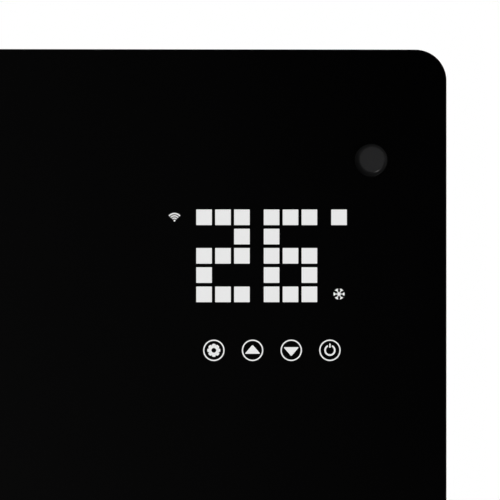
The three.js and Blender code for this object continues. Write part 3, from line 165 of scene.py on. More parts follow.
class Channel:
    """One output socket of a node tree, with the usual arithmetic."""

    def __init__(self, graph, socket):
        self.graph = graph
        self.socket = socket

    def __add__(self, other):
        return self.graph.math("ADD", self, other)

    __radd__ = __add__

    def __sub__(self, other):
        return self.graph.math("SUBTRACT", self, other)

    def __rsub__(self, other):
        return self.graph.math("SUBTRACT", other, self)

    def __mul__(self, other):
        return self.graph.math("MULTIPLY", self, other)

    __rmul__ = __mul__

    def __pow__(self, other):
        return self.graph.math("POWER", self, other)

    def __abs__(self):
        return self.graph.math("ABSOLUTE", self)

    def highest(self, other):
        return self.graph.math("MAXIMUM", self, other)

    def wave(self, pitch):
        """A sine that repeats every pitch."""
        return self.graph.math("SINE", self * (2 * math.pi / pitch))


class Graph:
    """A node tree of a material or of the world, built one node at a time."""

    def __init__(self, tree):
        self.tree = tree

    def feed(self, socket, value):
        if isinstance(value, Channel):
            self.tree.links.new(value.socket, socket)
        elif socket.type == "RGBA" and len(value) == 3:
            socket.default_value = (*value, 1.0)
        else:
            socket.default_value = value

    def node(self, kind, settings=None, inputs=None, output=0):
        made = self.tree.nodes.new(kind)
        for name, value in (settings or {}).items():
            setattr(made, name, value)
        for name, value in (inputs or {}).items():
            self.feed(made.inputs[name], value)
        return Channel(self, made.outputs[output])

    def math(self, operation, *values):
        return self.node("ShaderNodeMath", {"operation": operation}, dict(enumerate(values)))

    def ray(self, kind):
        return self.node("ShaderNodeLightPath", output=kind)

    def seen(self):
        """1 for what the camera, a mirror or a window shows, 0 for what only gives light."""
        direct = self.ray("Is Camera Ray").highest(self.ray("Is Glossy Ray"))
        return direct.highest(self.ray("Is Transmission Ray"))

    def place(self, stretch=(1, 1, 1)):
        """Object coordinates in metres, stretched."""
        raw = self.node("ShaderNodeTexCoord", output="Object")
        return self.node("ShaderNodeVectorMath", {"operation": "MULTIPLY"}, {0: raw, 1: stretch})

    def axis(self, vector, name):
        return self.node("ShaderNodeSeparateXYZ", inputs={"Vector": vector}, output=name)

    def noise(self, size, detail=2.0, roughness=0.5, vector=None):
        """Noise from 0 to 1 whose lumps are about size metres across."""
        inputs = {"Vector": vector or self.place(), "Scale": 1 / size}
        inputs |= {"Detail": detail, "Roughness": roughness}
        return self.node("ShaderNodeTexNoise", inputs=inputs)

    def cells(self, size, feature="F1"):
        """Distance pattern of cells about size metres across."""
        inputs = {"Vector": self.place(), "Scale": 1 / size}
        return self.node("ShaderNodeTexVoronoi", {"feature": feature}, inputs)

    def spread(self, value, low, high, start=0.0, end=1.0):
        """Maps value from start..end to low..high, with soft ends, and clamps it."""
        return self.node(
            "ShaderNodeMapRange",
            {"interpolation_type": "SMOOTHSTEP"},
            {"Value": value, "From Min": start, "From Max": end, "To Min": low, "To Max": high},
        )

    def blend(self, factor, first, second):
        made = self.tree.nodes.new("ShaderNodeMix")
        made.data_type = "RGBA"
        self.feed(made.inputs[0], factor)
        self.feed(made.inputs[6], first)
        self.feed(made.inputs[7], second)
        return Channel(self, made.outputs[2])

    def bump(self, height, depth, strength=1.0):
        inputs = {"Height": height, "Distance": depth, "Strength": strength}
        return self.node("ShaderNodeBump", inputs=inputs)


class Finish(Graph):
    """A material, with a Principled shader until it is shown as something else."""

    def __init__(self, name):
        self.material = bpy.data.materials.new(name)
        self.material.use_nodes = True
        super().__init__(self.material.node_tree)
        self.shader = self.tree.nodes["Principled BSDF"]

    def done(self, **values):
        """Feeds the shader's sockets by their names and returns the material."""
        for name, value in values.items():
            self.feed(self.shader.inputs[name.replace("_", " ")], value)
        return self.material

    def shown_as(self, surface):
        """Puts another shader in the Principled shader's place and returns the material."""
        self.tree.nodes.remove(self.shader)
        self.feed(self.tree.nodes["Material Output"].inputs["Surface"], surface)
        return self.material


def tint(colour, factor):
    return tuple(part * factor for part in colour)


def black_glass():
    look = Finish("black_glass")
    colour = bpy.context.scene.heater_glass.colour
    smears = look.noise(90 * MM, detail=3, roughness=0.6)
    wipe = look.noise(14 * MM, vector=look.place(stretch=(1, 1, 0.2)))
    haze = look.spread(smears * 0.7 + wipe * 0.3, 0.0, 1.0, 0.42, 0.72)
    rolling = look.noise(180 * MM, detail=0)
    return look.done(
        Base_Color=look.blend(haze, colour, tint(colour, 1.5)),
        Roughness=look.spread(haze, 0.02, 0.045),
        Normal=look.bump(rolling, 0.2 * MM, 0.2),
        IOR=1.52,
    )


def cap_metal():
    look = Finish("cap_metal")
    settings = bpy.context.scene.heater_glass
    colour = settings.cap_colour
    middle = box_middle("glass_cap_top_right")
    centre_z = box_middle("glass_panel").z
    point = look.place()
    across = abs(look.axis(point, "X")) - (middle.x - settings.cap_shift)
    along = abs(look.axis(point, "Z") - centre_z) - (middle.z - centre_z)
    radius = (across * across + along * along) ** 0.5
    turning = radius.wave(0.16 * MM)
    grain = look.noise(0.25 * MM, detail=3)
    satin = look.blend(look.noise(3 * MM), tint(colour, 0.92), tint(colour, 1.08))
    rim = settings.cap_radius - settings.cap_shoulder
    # Painted shade: the base colour darkens from the satin face out over the shoulder, where the
    # round shoulder turns away from the light
    shoulder = look.spread(radius, 0.0, 1.0, rim - 0.2 * MM, rim + MM)
    drop = look.spread(radius, 0.0, 0.45, rim + 0.6 * MM, rim + 1.6 * MM)
    return look.done(
        Base_Color=look.blend(shoulder, satin, tuple(settings.painted_shoulder_shade)),
        Roughness=look.spread(grain, 0.17, 0.22) + drop,
        Normal=look.bump(turning * 0.4 + grain, 0.01 * MM, 0.3),
        Specular_IOR_Level=0.04,
    )


def lit_window():
    look = Finish("lit_window")
    light = bpy.context.scene.heater_display.light
    evenness = look.noise(11 * MM, detail=1)
    return look.done(
        Base_Color=(0.01, 0.01, 0.01),
        Roughness=look.spread(evenness, 0.03, 0.05),
        Emission_Color=look.blend(evenness, tint(light, 0.985), tint(light, 1.015)),
        Emission_Strength=1.0,
        IOR=1.52,
    )


def powder_coat():
    look = Finish("powder_coat")
    colour = bpy.context.scene.heater_body.coat
    peel = look.noise(1.1 * MM, detail=2, roughness=0.55)
    grit = look.cells(0.45 * MM)
    cloud = look.noise(120 * MM)
    return look.done(
        Base_Color=look.blend(cloud * 0.6 + peel * 0.4, tint(colour, 0.85), tint(colour, 1.2)),
        Roughness=look.spread(peel, 0.48, 0.62),
        Normal=look.bump(peel + grit * 0.35, 0.05 * MM, 0.6),
    )


def grained_plastic():
    look = Finish("grained_plastic")
    colour = bpy.context.scene.heater_body.plastic
    pits = look.cells(0.7 * MM)
    fine = look.noise(0.35 * MM, detail=2)
    flow = look.noise(60 * MM)
    return look.done(
        Base_Color=look.blend(flow * 0.5 + fine * 0.5, tint(colour, 0.85), tint(colour, 1.2)),
        Roughness=look.spread(fine, 0.5, 0.64),
        Normal=look.bump(pits * 0.7 + fine * 0.5, 0.04 * MM, 0.6),
    )


def satin_plastic():
    look = Finish("satin_plastic")
    colour = bpy.context.scene.heater_body.plastic
    drag = look.noise(9 * MM, vector=look.place(stretch=(1, 1, 0.15)))
    fine = look.noise(0.5 * MM)
    return look.done(
        Base_Color=look.blend(drag, tint(colour, 0.8), tint(colour, 1.1)),
        Roughness=look.spread(drag, 0.26, 0.36),
        Normal=look.bump(fine, 0.008 * MM, 0.5),
    )


def rubber(name, size):
    look = Finish(name)
    dust = look.noise(16 * MM, detail=4, roughness=0.7)
    tooth = look.noise(size)
    return look.done(
        Base_Color=look.blend(dust, (0.012, 0.012, 0.012), (0.026, 0.025, 0.024)),
        Roughness=look.spread(dust, 0.72, 0.86),
        Normal=look.bump(tooth, 0.06 * MM, 0.6),
    )


def zinc_plate():
    look = Finish("zinc_plate")
    spangle = look.cells(2.2 * MM)
    rub = look.noise(5 * MM, detail=3, vector=look.place(stretch=(1, 0.12, 1)))
    return look.done(
        Base_Color=look.blend(spangle * 0.5 + rub * 0.5, (0.46, 0.47, 0.49), (0.62, 0.62, 0.62)),
        Metallic=1.0,
        Roughness=look.spread(rub, 0.24, 0.4),
        Normal=look.bump(rub, 0.02 * MM, 0.4),
    )


def spring_steel():
    look = Finish("spring_steel")
    drawn = look.noise(1.5 * MM, detail=3)
    return look.done(
        Base_Color=look.blend(drawn, (0.52, 0.35, 0.11), (0.68, 0.49, 0.2)),
        Metallic=1.0,
        Roughness=look.spread(drawn, 0.2, 0.34),
    )


def heating_film():
    look = Finish("heating_film")
    strips = look.axis(look.place(), "X").wave(12 * MM)
    carbon = look.spread(strips, 0.0, 1.0, -0.3, -0.1)
    speckle = look.noise(0.8 * MM, detail=3)
    return look.done(
        Base_Color=look.blend(carbon, (0.1, 0.07, 0.035), (0.012, 0.012, 0.013)),
        Roughness=look.spread(speckle, 0.3, 0.42),
        Normal=look.bump(carbon, 0.04 * MM, 0.6),
    )


def foil_board():
    look = Finish("foil_board")
    crease = look.cells(22 * MM, feature="DISTANCE_TO_EDGE")
    weave = look.noise(4 * MM, detail=4, roughness=0.6)
    return look.done(
        Base_Color=look.blend(weave, (0.42, 0.42, 0.43), (0.6, 0.6, 0.59)),
        Metallic=0.85,
        Roughness=look.spread(weave, 0.34, 0.5),
        Normal=look.bump(crease + weave * 0.3, 0.4 * MM, 0.5),
    )


def white_plastic():
    look = Finish("white_plastic")
    flow = look.noise(12 * MM, detail=3)
    return look.done(
        Base_Color=look.blend(flow, (0.74, 0.74, 0.72), (0.82, 0.82, 0.81)),
        Roughness=look.spread(flow, 0.36, 0.46),
        Normal=look.bump(look.noise(0.6 * MM), 0.015 * MM, 0.5),
    )


def circuit_board():
    look = Finish("circuit_board")
    tracks = look.cells(3.4 * MM, feature="DISTANCE_TO_EDGE")
    copper = look.spread(tracks, 1.0, 0.0, 0.04, 0.09)
    weave = look.noise(0.5 * MM)
    return look.done(
        Base_Color=look.blend(copper, (0.006, 0.045, 0.022), (0.02, 0.12, 0.05)),
        Roughness=look.spread(weave, 0.26, 0.34),
        Normal=look.bump(copper + weave * 0.2, 0.035 * MM, 0.7),
    )


def switch_ink():
    look = Finish("switch_ink")
    colour = bpy.context.scene.heater_body.marks
    wear = look.noise(0.9 * MM, detail=4, roughness=0.7)
    return look.done(
        Base_Color=look.blend(wear, tint(colour, 0.85), tint(colour, 1.1)),
        Roughness=look.spread(wear, 0.4, 0.55),
    )


def wire_sleeve():
    look = Finish("wire_sleeve")
    dust = look.noise(6 * MM, detail=3)
    return look.done(
        Base_Color=look.blend(dust, (0.64, 0.62, 0.57), (0.76, 0.74, 0.7)),
        Roughness=look.spread(dust, 0.42, 0.58),
        Normal=look.bump(look.noise(0.7 * MM), 0.03 * MM, 0.5),
    )


# Meshes


def edges_between(faces):
    """The faces' edges, each once and always in the same order."""
    return list(dict.fromkeys(edge for face in faces for edge in face.edges))


def in_mm(points):
    return [(first * MM, second * MM) for first, second in points]


def verts_of(items):
    return [item for item in items if isinstance(item, bmesh.types.BMVert)]


def put(bm, place, verts=None):
    bmesh.ops.transform(bm, matrix=place, verts=verts or bm.verts)


def add_object(name, data):
    made = bpy.data.objects.new(name, data)
    bpy.context.scene.collection.objects.link(made)
    return made


def add_mesh(bm, name, material):
    mesh = bpy.data.meshes.new(name)
    bm.to_mesh(mesh)
    bm.free()
    mesh.materials.append(material)
    return add_object(name, mesh)


def modify(piece, name, kind, **settings):
    made = piece.modifiers.new(name, kind)
    for key, value in settings.items():
        setattr(made, key, value)


def bevel(bm, geom, width, steps, affect, clamp):
    return bmesh.ops.bevel(
        bm,
        geom=geom,
        offset=width,
        offset_type="OFFSET",
        affect=affect,
        segments=steps,
        profile=0.5,
        material=-1,
        clamp_overlap=clamp,
    )


def soften(bm, edges, width, steps):
    bevel(bm, edges, width, steps, "EDGES", True)


def round_off(bm, verts, radius, steps=6):
    return bevel(bm, verts, radius, steps, "VERTICES", False)


def oblong(bm, width, height):
    made = bmesh.ops.create_grid(bm, x_segments=1, y_segments=1, size=0.5)["verts"]
    bmesh.ops.scale(bm, vec=(width, height, 1), verts=made)
    return made


def rounded_face(bm, width, height, radius, steps, centre=(0, 0), level=0.0):
    """A flat face with round corners, at that level of the drawing."""
    made = oblong(bm, width, height)
    bmesh.ops.translate(bm, vec=(*centre, level), verts=made)
    rounded = round_off(bm, made, min(radius, ROUNDEST * min(width, height)), steps)
    return rounded["verts"][0].link_faces[0]


def round_face(bm, radius, steps, centre=(0, 0), level=0.0):
    made = bmesh.ops.create_circle(bm, cap_ends=True, segments=steps, radius=radius)["verts"]
    bmesh.ops.translate(bm, vec=(*centre, level), verts=made)
    return made[0].link_faces[0]


def open_face(bm, faces):
    """Takes the faces away and keeps their edges."""
    rims = edges_between(faces)
    bmesh.ops.delete(bm, geom=faces, context="FACES_ONLY")
    return rims


def fill_round(bm, rims, normal=(0, 0, 1)):
    """Fills the flat space between closed loops of edges, as one sheet with openings."""
    made = bmesh.ops.triangle_fill(
        bm,
        use_beauty=True,
        use_dissolve=False,
        edges=rims,
        normal=normal,
    )["geom"]
    faces = [item for item in made if isinstance(item, bmesh.types.BMFace)]
    kept = set(rims)
    inner = [edge for edge in edges_between(faces) if edge not in kept]
    bmesh.ops.dissolve_limit(bm, angle_limit=0.01, verts=[], edges=inner)


def pierce(bm, face, openings):
    """Fills a flat face anew round openings that are drawn on it as faces."""
    face.normal_update()
    normal = face.normal.copy()
    fill_round(bm, open_face(bm, [face, *openings]), normal)


def pull_edges(bm, edges, offset):
    """Draws a wall out of open edges, and returns the wall's far vertices and edges."""
    made = bmesh.ops.extrude_edge_only(bm, edges=edges)["geom"]
    far = verts_of(made)
    bmesh.ops.translate(bm, vec=offset, verts=far)
    moved = set(far)
    rim = [e for e in made if isinstance(e, bmesh.types.BMEdge) and moved.issuperset(e.verts)]
    return far, rim


def raise_faces(bm, faces, height, keep=True):
    """Pulls flat faces up. With keep, they also stay in place, as the foot of a solid."""
    made = bmesh.ops.extrude_face_region(bm, geom=faces, use_keep_orig=keep)["geom"]
    bmesh.ops.translate(bm, vec=(0, 0, height), verts=verts_of(made))


def sharp_edges(bm, degrees, inside=None):
    limit = math.radians(degrees)
    chosen = [e for e in bm.edges if e.is_manifold and e.calc_face_angle(0) > limit]
    return [e for e in chosen if inside is None or inside(e)]


def turned(bm, profile, steps, centre=(0, 0)):
    """Spins a profile of (radius, height) pairs about the upright axis at centre."""
    line = [bm.verts.new((centre[0] + radius, centre[1], height)) for radius, height in profile]
    strip = [bm.edges.new(pair) for pair in zip(line, line[1:])]
    bmesh.ops.spin(
        bm,
        geom=line + strip,
        cent=(*centre, 0),
        axis=(0, 0, 1),
        angle=2 * math.pi,
        steps=steps,
        use_merge=True,
    )
    bmesh.ops.remove_doubles(bm, verts=bm.verts, dist=WELD / 2)


def press(bm, faces, slope, rise):
    """Raises flat faces inside slopes of their own."""
    sizes = {"thickness": slope, "depth": rise}
    bmesh.ops.inset_individual(bm, faces=faces, use_even_offset=True, **sizes)


def quarter(width, height, steps):
    """A round shoulder's offsets from its corner, from the flat face down to the side."""
    turns = [i / steps * math.pi / 2 for i in range(steps + 1)]
    return [(width * (math.sin(turn) - 1), height * (math.cos(turn) - 1)) for turn in turns]


def close_up(bm):
    """Merges doubles and turns every face outwards."""
    bmesh.ops.remove_doubles(bm, verts=bm.verts, dist=WELD)
    bmesh.ops.recalc_face_normals(bm, faces=bm.faces)


def make_piece(bm, name, material, body="heater", replaces=(), wall=0.0):
    """Turns a bmesh into a named piece of the heater that rides on a body.

    An open sheet is given its wall inwards, and the edges of its openings are broken.
    """
    bm.normal_update()
    for face in bm.faces:
        face.smooth = True
    for edge in bm.edges:
        edge.smooth = edge.calc_face_angle(0) < SMOOTH_BELOW
    piece = add_mesh(bm, name, material)
    if wall:
        modify(piece, "Wall", "SOLIDIFY", thickness=wall, offset=-1.0, use_even_offset=True)
        modify(
            piece,
            "Broken edges",
            "BEVEL",
            width=0.2 * MM,
            segments=2,
            limit_method="ANGLE",
            angle_limit=math.radians(50),
        )
    modify(piece, "Even shading", "WEIGHTED_NORMAL", keep_sharp=True, weight=100)
    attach(piece, body)
    if replaces:
        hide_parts(*replaces)


def dressed_copy(name, node, material, width, steps=2, body="heater"):
    """A CAD node's own mesh, merged, with its sharp edges rounded as the real part's are."""
    bm = bmesh.new()
    bm.from_mesh(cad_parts[node].data)
    bmesh.ops.remove_doubles(bm, verts=bm.verts, dist=WELD)
    bmesh.ops.dissolve_limit(bm, angle_limit=math.radians(1), verts=bm.verts, edges=bm.edges)
    soften(bm, sharp_edges(bm, 50), width, steps)
    make_piece(bm, name, material, body, (node,))


def paint_nodes(material, *names):
    """Gives CAD nodes that stay as they are their finish."""
    for name in names:
        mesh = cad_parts[name].data
        mesh.materials.clear()
        mesh.materials.append(material)


# Operators, one for each piece or group of like pieces


class BuildGlassFront(Operator):
    """Black glass front with round corners, a ground edge and four fixing holes"""

    bl_idname = "heater.glass_front"
    bl_label = "Glass front"

    def execute(self, context):
        sizes = context.scene.heater_glass
        size = glass_high - glass_low
        centre = box_middle("glass_panel")
        bm = bmesh.new()
        rims = open_face(bm, [rounded_face(bm, size.x, size.z, sizes.corner_radius, 24)])
        for corner in CORNERS:
            spot = box_middle(f"glass_cap_{corner}") - centre
            rims += open_face(bm, [round_face(bm, sizes.hole_radius, 48, (spot.x, spot.z))])
        fill_round(bm, rims)
        thicken(bm, size.y)
        soften(bm, sharp_edges(bm, 60), sizes.ground_edge, 3)
        put(bm, Matrix.Translation((centre.x, glass_high.y, centre.z)) @ FACING_FRONT)
        make_piece(bm, "glass_front", black_glass(), replaces=("glass_panel",))
        return {"FINISHED"}


class BuildGlassCaps(Operator):
    """Four satin black caps that hold the glass, with round shoulders"""

    bl_idname = "heater.glass_caps"
    bl_label = "Glass caps"

    bore = 2.8 * MM
    bore_depth = 3.2 * MM

    def execute(self, context):
        sizes = context.scene.heater_glass
        material = cap_metal()
        for corner in CORNERS:
            node = f"glass_cap_{corner}"
            low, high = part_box(node)
            centre = box_middle(node)
            height = high.y - low.y
            bm = bmesh.new()
            shoulder = quarter(sizes.cap_shoulder, sizes.cap_shoulder_rise, 12)
            profile = [(0, height)]
            profile += [(sizes.cap_radius + across, height + down) for across, down in shoulder]
            profile += [(sizes.cap_radius, 0), (self.bore, 0)]
            profile += [(self.bore, self.bore_depth), (0, self.bore_depth)]
            turned(bm, profile, 72)
            close_up(bm)
            soften(bm, sharp_edges(bm, 60, self.on_foot_rim), 0.2 * MM, 2)
            x = centre.x - math.copysign(sizes.cap_shift, centre.x)
            put(bm, Matrix.Translation((x, high.y, centre.z)) @ FACING_FRONT)
            make_piece(bm, f"satin_cap_{corner}", material, replaces=(node,))
        return {"FINISHED"}

    def on_foot_rim(self, edge):
        spot = edge.verts[0].co
        return spot.z < 0.01 * MM and spot.xy.length > self.bore + MM


def thicken(bm, depth):
    """Makes a closed plate of a flat drawing, depth thick towards +z."""
    for face in bm.faces:
        if face.normal.z < 0:
            face.normal_flip()
    raise_faces(bm, bm.faces[:], depth)
    close_up(bm)


def set_in_glass(bm, name, material):
    """Thickens flat shapes, drawn in the glass's own x and z, into windows flush with the glass."""
    thicken(bm, 2 * INLAY)
    put(bm, Matrix.Translation((0, glass_low.y + INLAY, 0)) @ FACING_FRONT)
    make_piece(bm, name, material)


def flat_ring(bm, outer, inner, centre, start=0.0, sweep=360.0, steps=64):
    """A ring, or an arc of one from start over sweep degrees, anticlockwise from the right."""
    turn = Matrix.Rotation(math.radians(start), 3, "Z")
    hub = Vector((*centre, 0))
    ends = [bm.verts.new(hub + turn @ Vector((radius, 0, 0))) for radius in (inner, outer)]
    edge = bm.edges.new(ends)
    made = bmesh.ops.spin(
        bm,
        geom=[*ends, edge],
        cent=hub,
        axis=(0, 0, 1),
        angle=math.radians(sweep),
        steps=steps,
        use_merge=sweep == 360.0,
    )
    return ends, made["geom_last"]


def flat_shape(bm, points, centre, turn=0.0):
    """One flat face from a few corners."""
    spin = Matrix.Rotation(math.radians(turn), 3, "Z")
    hub = Vector((*centre, 0))
    return bm.faces.new([bm.verts.new(hub + spin @ Vector((x, y, 0))) for x, y in points])


class BuildReadout(Operator):
    """Two lit digits of square pixels and a degree pixel behind the glass"""

    bl_idname = "heater.readout"
    bl_label = "Readout"

    def execute(self, context):
        sizes = context.scene.heater_display
        left, top = on_glass(*FIRST_PIXEL)
        spots = [(len(LIT_DIGITS) * sizes.digit_pitch, 0)]
        for digit, rows in enumerate(LIT_DIGITS):
            for row, cells in enumerate(rows):
                for column, cell in enumerate(cells):
                    if cell == "#":
                        across = digit * sizes.digit_pitch + column * sizes.pixel_pitch_x
                        spots.append((across, -row * sizes.pixel_pitch_z))
        bm = bmesh.new()
        for across, down in spots:
            spot = (left + across, top + down)
            rounded_face(bm, sizes.pixel, sizes.pixel, 0.12 * MM, 2, spot)
        set_in_glass(bm, "readout_pixels", lit_window())
        return {"FINISHED"}


class BuildStatusIcons(Operator):
    """A radio icon and a frost icon, lit behind the glass"""

    bl_idname = "heater.status_icons"
    bl_label = "Status icons"

    def execute(self, context):
        material = lit_window()
        bm = bmesh.new()
        hub = on_glass(*RADIO_ICON)
        round_face(bm, 0.47 * MM, 24, hub)
        for outer, width, start in ((3.88, 0.7, 40), (2.7, 0.62, 38), (1.58, 0.57, 35)):
            inner = outer - width
            sweep = 180 - 2 * start
            first, last = flat_ring(bm, outer * MM, inner * MM, hub, start, sweep, 24)
            round_off(bm, [*first, *verts_of(last)], 0.42 * width * MM, 4)
        set_in_glass(bm, "radio_icon", material)

        bm = bmesh.new()
        spot = on_glass(*FROST_ICON)
        lower = ((0.61, -0.35), (1.12, -0.22), (1.72, -0.23), (2.12, -0.58), (2.58, -1.04))
        upper = ((x, -z) for x, z in reversed(lower))
        arm = in_mm([(0, 0), *lower, (2.82, 0), *upper])
        for turn in range(0, 360, 60):
            flat_shape(bm, arm, spot, turn)
        bmesh.ops.remove_doubles(bm, verts=bm.verts, dist=10 * WELD)
        set_in_glass(bm, "frost_icon", material)
        return {"FINISHED"}


class BuildTouchKeys(Operator):
    """A row of ringed touch keys with their signs"""

    bl_idname = "heater.touch_keys"
    bl_label = "Touch keys"

    def execute(self, context):
        sizes = context.scene.heater_display
        material = lit_window()
        from_right, from_top = LAST_KEY
        first_x, z = on_glass(from_right + (sizes.key_count - 1) * sizes.key_pitch, from_top)
        spots = [(first_x + i * sizes.key_pitch, z) for i in range(sizes.key_count)]
        bm = bmesh.new()
        for spot in spots:
            flat_ring(bm, sizes.key_radius, sizes.key_radius - sizes.key_ring, spot)
        set_in_glass(bm, "key_rings", material)

        signs = bmesh.new()
        self.gear(signs, spots[0])
        self.arrow(signs, spots[1], 2.8 * MM, 1)
        self.arrow(signs, spots[2], -2.96 * MM, -1)
        self.power(signs, spots[3])
        set_in_glass(signs, "key_signs", material)
        return {"FINISHED"}

    def gear(self, bm, spot):
        teeth = 8
        points = 8  # of the rim for each tooth, the last two of them in the notch
        outer, notch, hole = 3.24 * MM, 2.68 * MM, 1.18 * MM
        lean = 14.06  # degrees from upright to the first tooth
        first = 90 - lean
        hub = Vector((*spot, 0))
        flat_ring(bm, outer, hole, spot, first, steps=teeth * points)
        turn = 2 * math.pi / (teeth * points)
        start = math.radians(first)
        for vert in bm.verts:
            arm = vert.co - hub
            if arm.length < 0.5 * (outer + hole):
                continue
            angle = math.atan2(arm.y, arm.x) - start
            index = round(angle / turn) % points
            if index >= points - 2:
                vert.co = hub + arm * (notch / outer)

    def arrow(self, bm, spot, tip, way):
        half, height = 3.88 * MM, 4.52 * MM
        base = tip - way * height
        face = flat_shape(bm, [(-half, base), (half, base), (0, tip)], spot)
        round_off(bm, face.verts[:], 0.62 * MM)

    def power(self, bm, spot):
        outer, inner = 2.82 * MM, 2.0 * MM
        opening = 25  # degrees to each side of the top
        flat_ring(bm, outer, inner, spot, 90 + opening, 360 - 2 * opening, 48)
        half, foot, top = 0.34 * MM, 1.3 * MM, 3.4 * MM
        face = flat_shape(bm, [(-half, foot), (half, foot), (half, top), (-half, top)], spot)
        round_off(bm, face.verts[:], 0.2 * MM, 3)


def seen_from_behind(point, origin):
    """A point's place in a drawing of the back, which is centred on origin."""
    return origin.x - point.x, point.z - origin.z


class BuildRearCasing(Operator):
    """Powder-coated steel casing with pressed fields, vent slots and wall bosses"""

    bl_idname = "heater.rear_casing"
    bl_label = "Rear casing"

    depth = 24 * MM
    corner = 12 * MM
    lip_width = 7.7 * MM
    rise = 3 * MM  # of the pressed fields
    slope = 4 * MM  # width of the fields' slopes
    boss_bore = 2.1 * MM
    slots = 8
    slot_pitch = 102 * MM
    bosses = in_mm((x, z) for x in (-150, 150) for z in (-100, 100))
    field_middles = in_mm((x, 0) for x in (-200, 60, 320))

    # Width, height, corner radius and corner steps
    field = (240 * MM, 290 * MM, 14 * MM, 8)
    access = (100 * MM, 216 * MM, 9 * MM, 6)
    slot = (82 * MM, 9 * MM, 4.5 * MM, 6)

    def execute(self, context):
        sizes = context.scene.heater_body
        size = casing_high - casing_low
        origin = box_middle("rear_casing")
        origin.y = casing_low.y + self.depth
        bm = bmesh.new()
        outline = rounded_face(bm, size.x, size.z, self.corner, 8)
        rim = list(outline.edges)
        fields = [rounded_face(bm, *self.field, middle) for middle in self.field_middles]
        cover = seen_from_behind(box_middle("rear_cover"), origin)
        access = rounded_face(bm, *self.access, cover)
        fill_round(bm, open_face(bm, [outline, access]) + edges_between(fields))
        press(bm, fields, self.slope, self.rise)
        self.pierce_fields(bm, fields)
        self.fold_walls(bm, rim, size, sizes.sheet)
        self.pierce_walls(bm, size)
        soften(bm, sharp_edges(bm, 30), sizes.fold, 3)
        close_up(bm)
        place = Matrix.Translation(origin) @ FACING_BACK
        put(bm, place)
        coat = powder_coat()
        nodes = ("rear_casing",)
        make_piece(bm, "coated_casing", coat, replaces=nodes, wall=sizes.sheet)
        self.make_bosses(coat, place)
        return {"FINISHED"}

    def pierce_fields(self, bm, fields):
        """Opens a hole in the pressed fields for each wall boss."""
        for field in fields:
            middle = field.calc_center_median().x
            spots = [spot for spot in self.bosses if abs(spot[0] - middle) < self.field[0] / 2]
            holes = [round_face(bm, self.boss_bore, 24, spot, self.rise) for spot in spots]
            if holes:
                pierce(bm, field, holes)

    def fold_walls(self, bm, rim, size, sheet):
        """Folds the four walls forward, and their rims in behind the glass."""
        _, front = pull_edges(bm, rim, (0, 0, -self.depth))
        lip, _ = pull_edges(bm, front, (0, 0, 0))
        shrink = (self.corner - sheet - self.lip_width) / self.corner
        turn_x, turn_y = size.x / 2 - self.corner, size.z / 2 - self.corner
        for side_x, side_y in ((-1, -1), (-1, 1), (1, -1), (1, 1)):
            group = [v for v in lip if v.co.x * side_x > 0 and v.co.y * side_y > 0]
            space = Matrix.Translation((-side_x * turn_x, -side_y * turn_y, 0))
            bmesh.ops.scale(bm, vec=(shrink, shrink, 1), space=space, verts=group)

    def pierce_walls(self, bm, size):
        """Punches a row of slots in the top wall and one in the bottom wall."""
        bm.normal_update()
        walls = [f for f in bm.faces if abs(f.normal.y) > 0.99 and f.calc_area() > 0.01]
        for wall in walls:
            level = math.copysign(size.z / 2, wall.calc_center_median().y)
            middle = (self.slots - 1) / 2
            slots = [
                rounded_face(bm, *self.slot, ((i - middle) * self.slot_pitch, 0))
                for i in range(self.slots)
            ]
            drawn = [vert for slot in slots for vert in slot.verts]
            stand = Matrix.Translation((0, level, -self.depth / 2)) @ FACING_FRONT
            put(bm, stand, drawn)
            pierce(bm, wall, slots)

    def make_bosses(self, coat, place):
        bm = bmesh.new()
        bore = self.boss_bore / MM
        tube = ((bore, -8), (5.5, -8), (5.5, 0))
        flange = ((7, 0), (7, 0.7), (6.7, 1), (2.5, 1), (bore, 0.6), (bore, -8))
        profile = [(radius, level + self.rise) for radius, level in in_mm(tube + flange)]
        for spot in self.bosses:
            turned(bm, profile, 48, spot)
        close_up(bm)
        put(bm, place)
        make_piece(bm, "wall_bosses", coat)


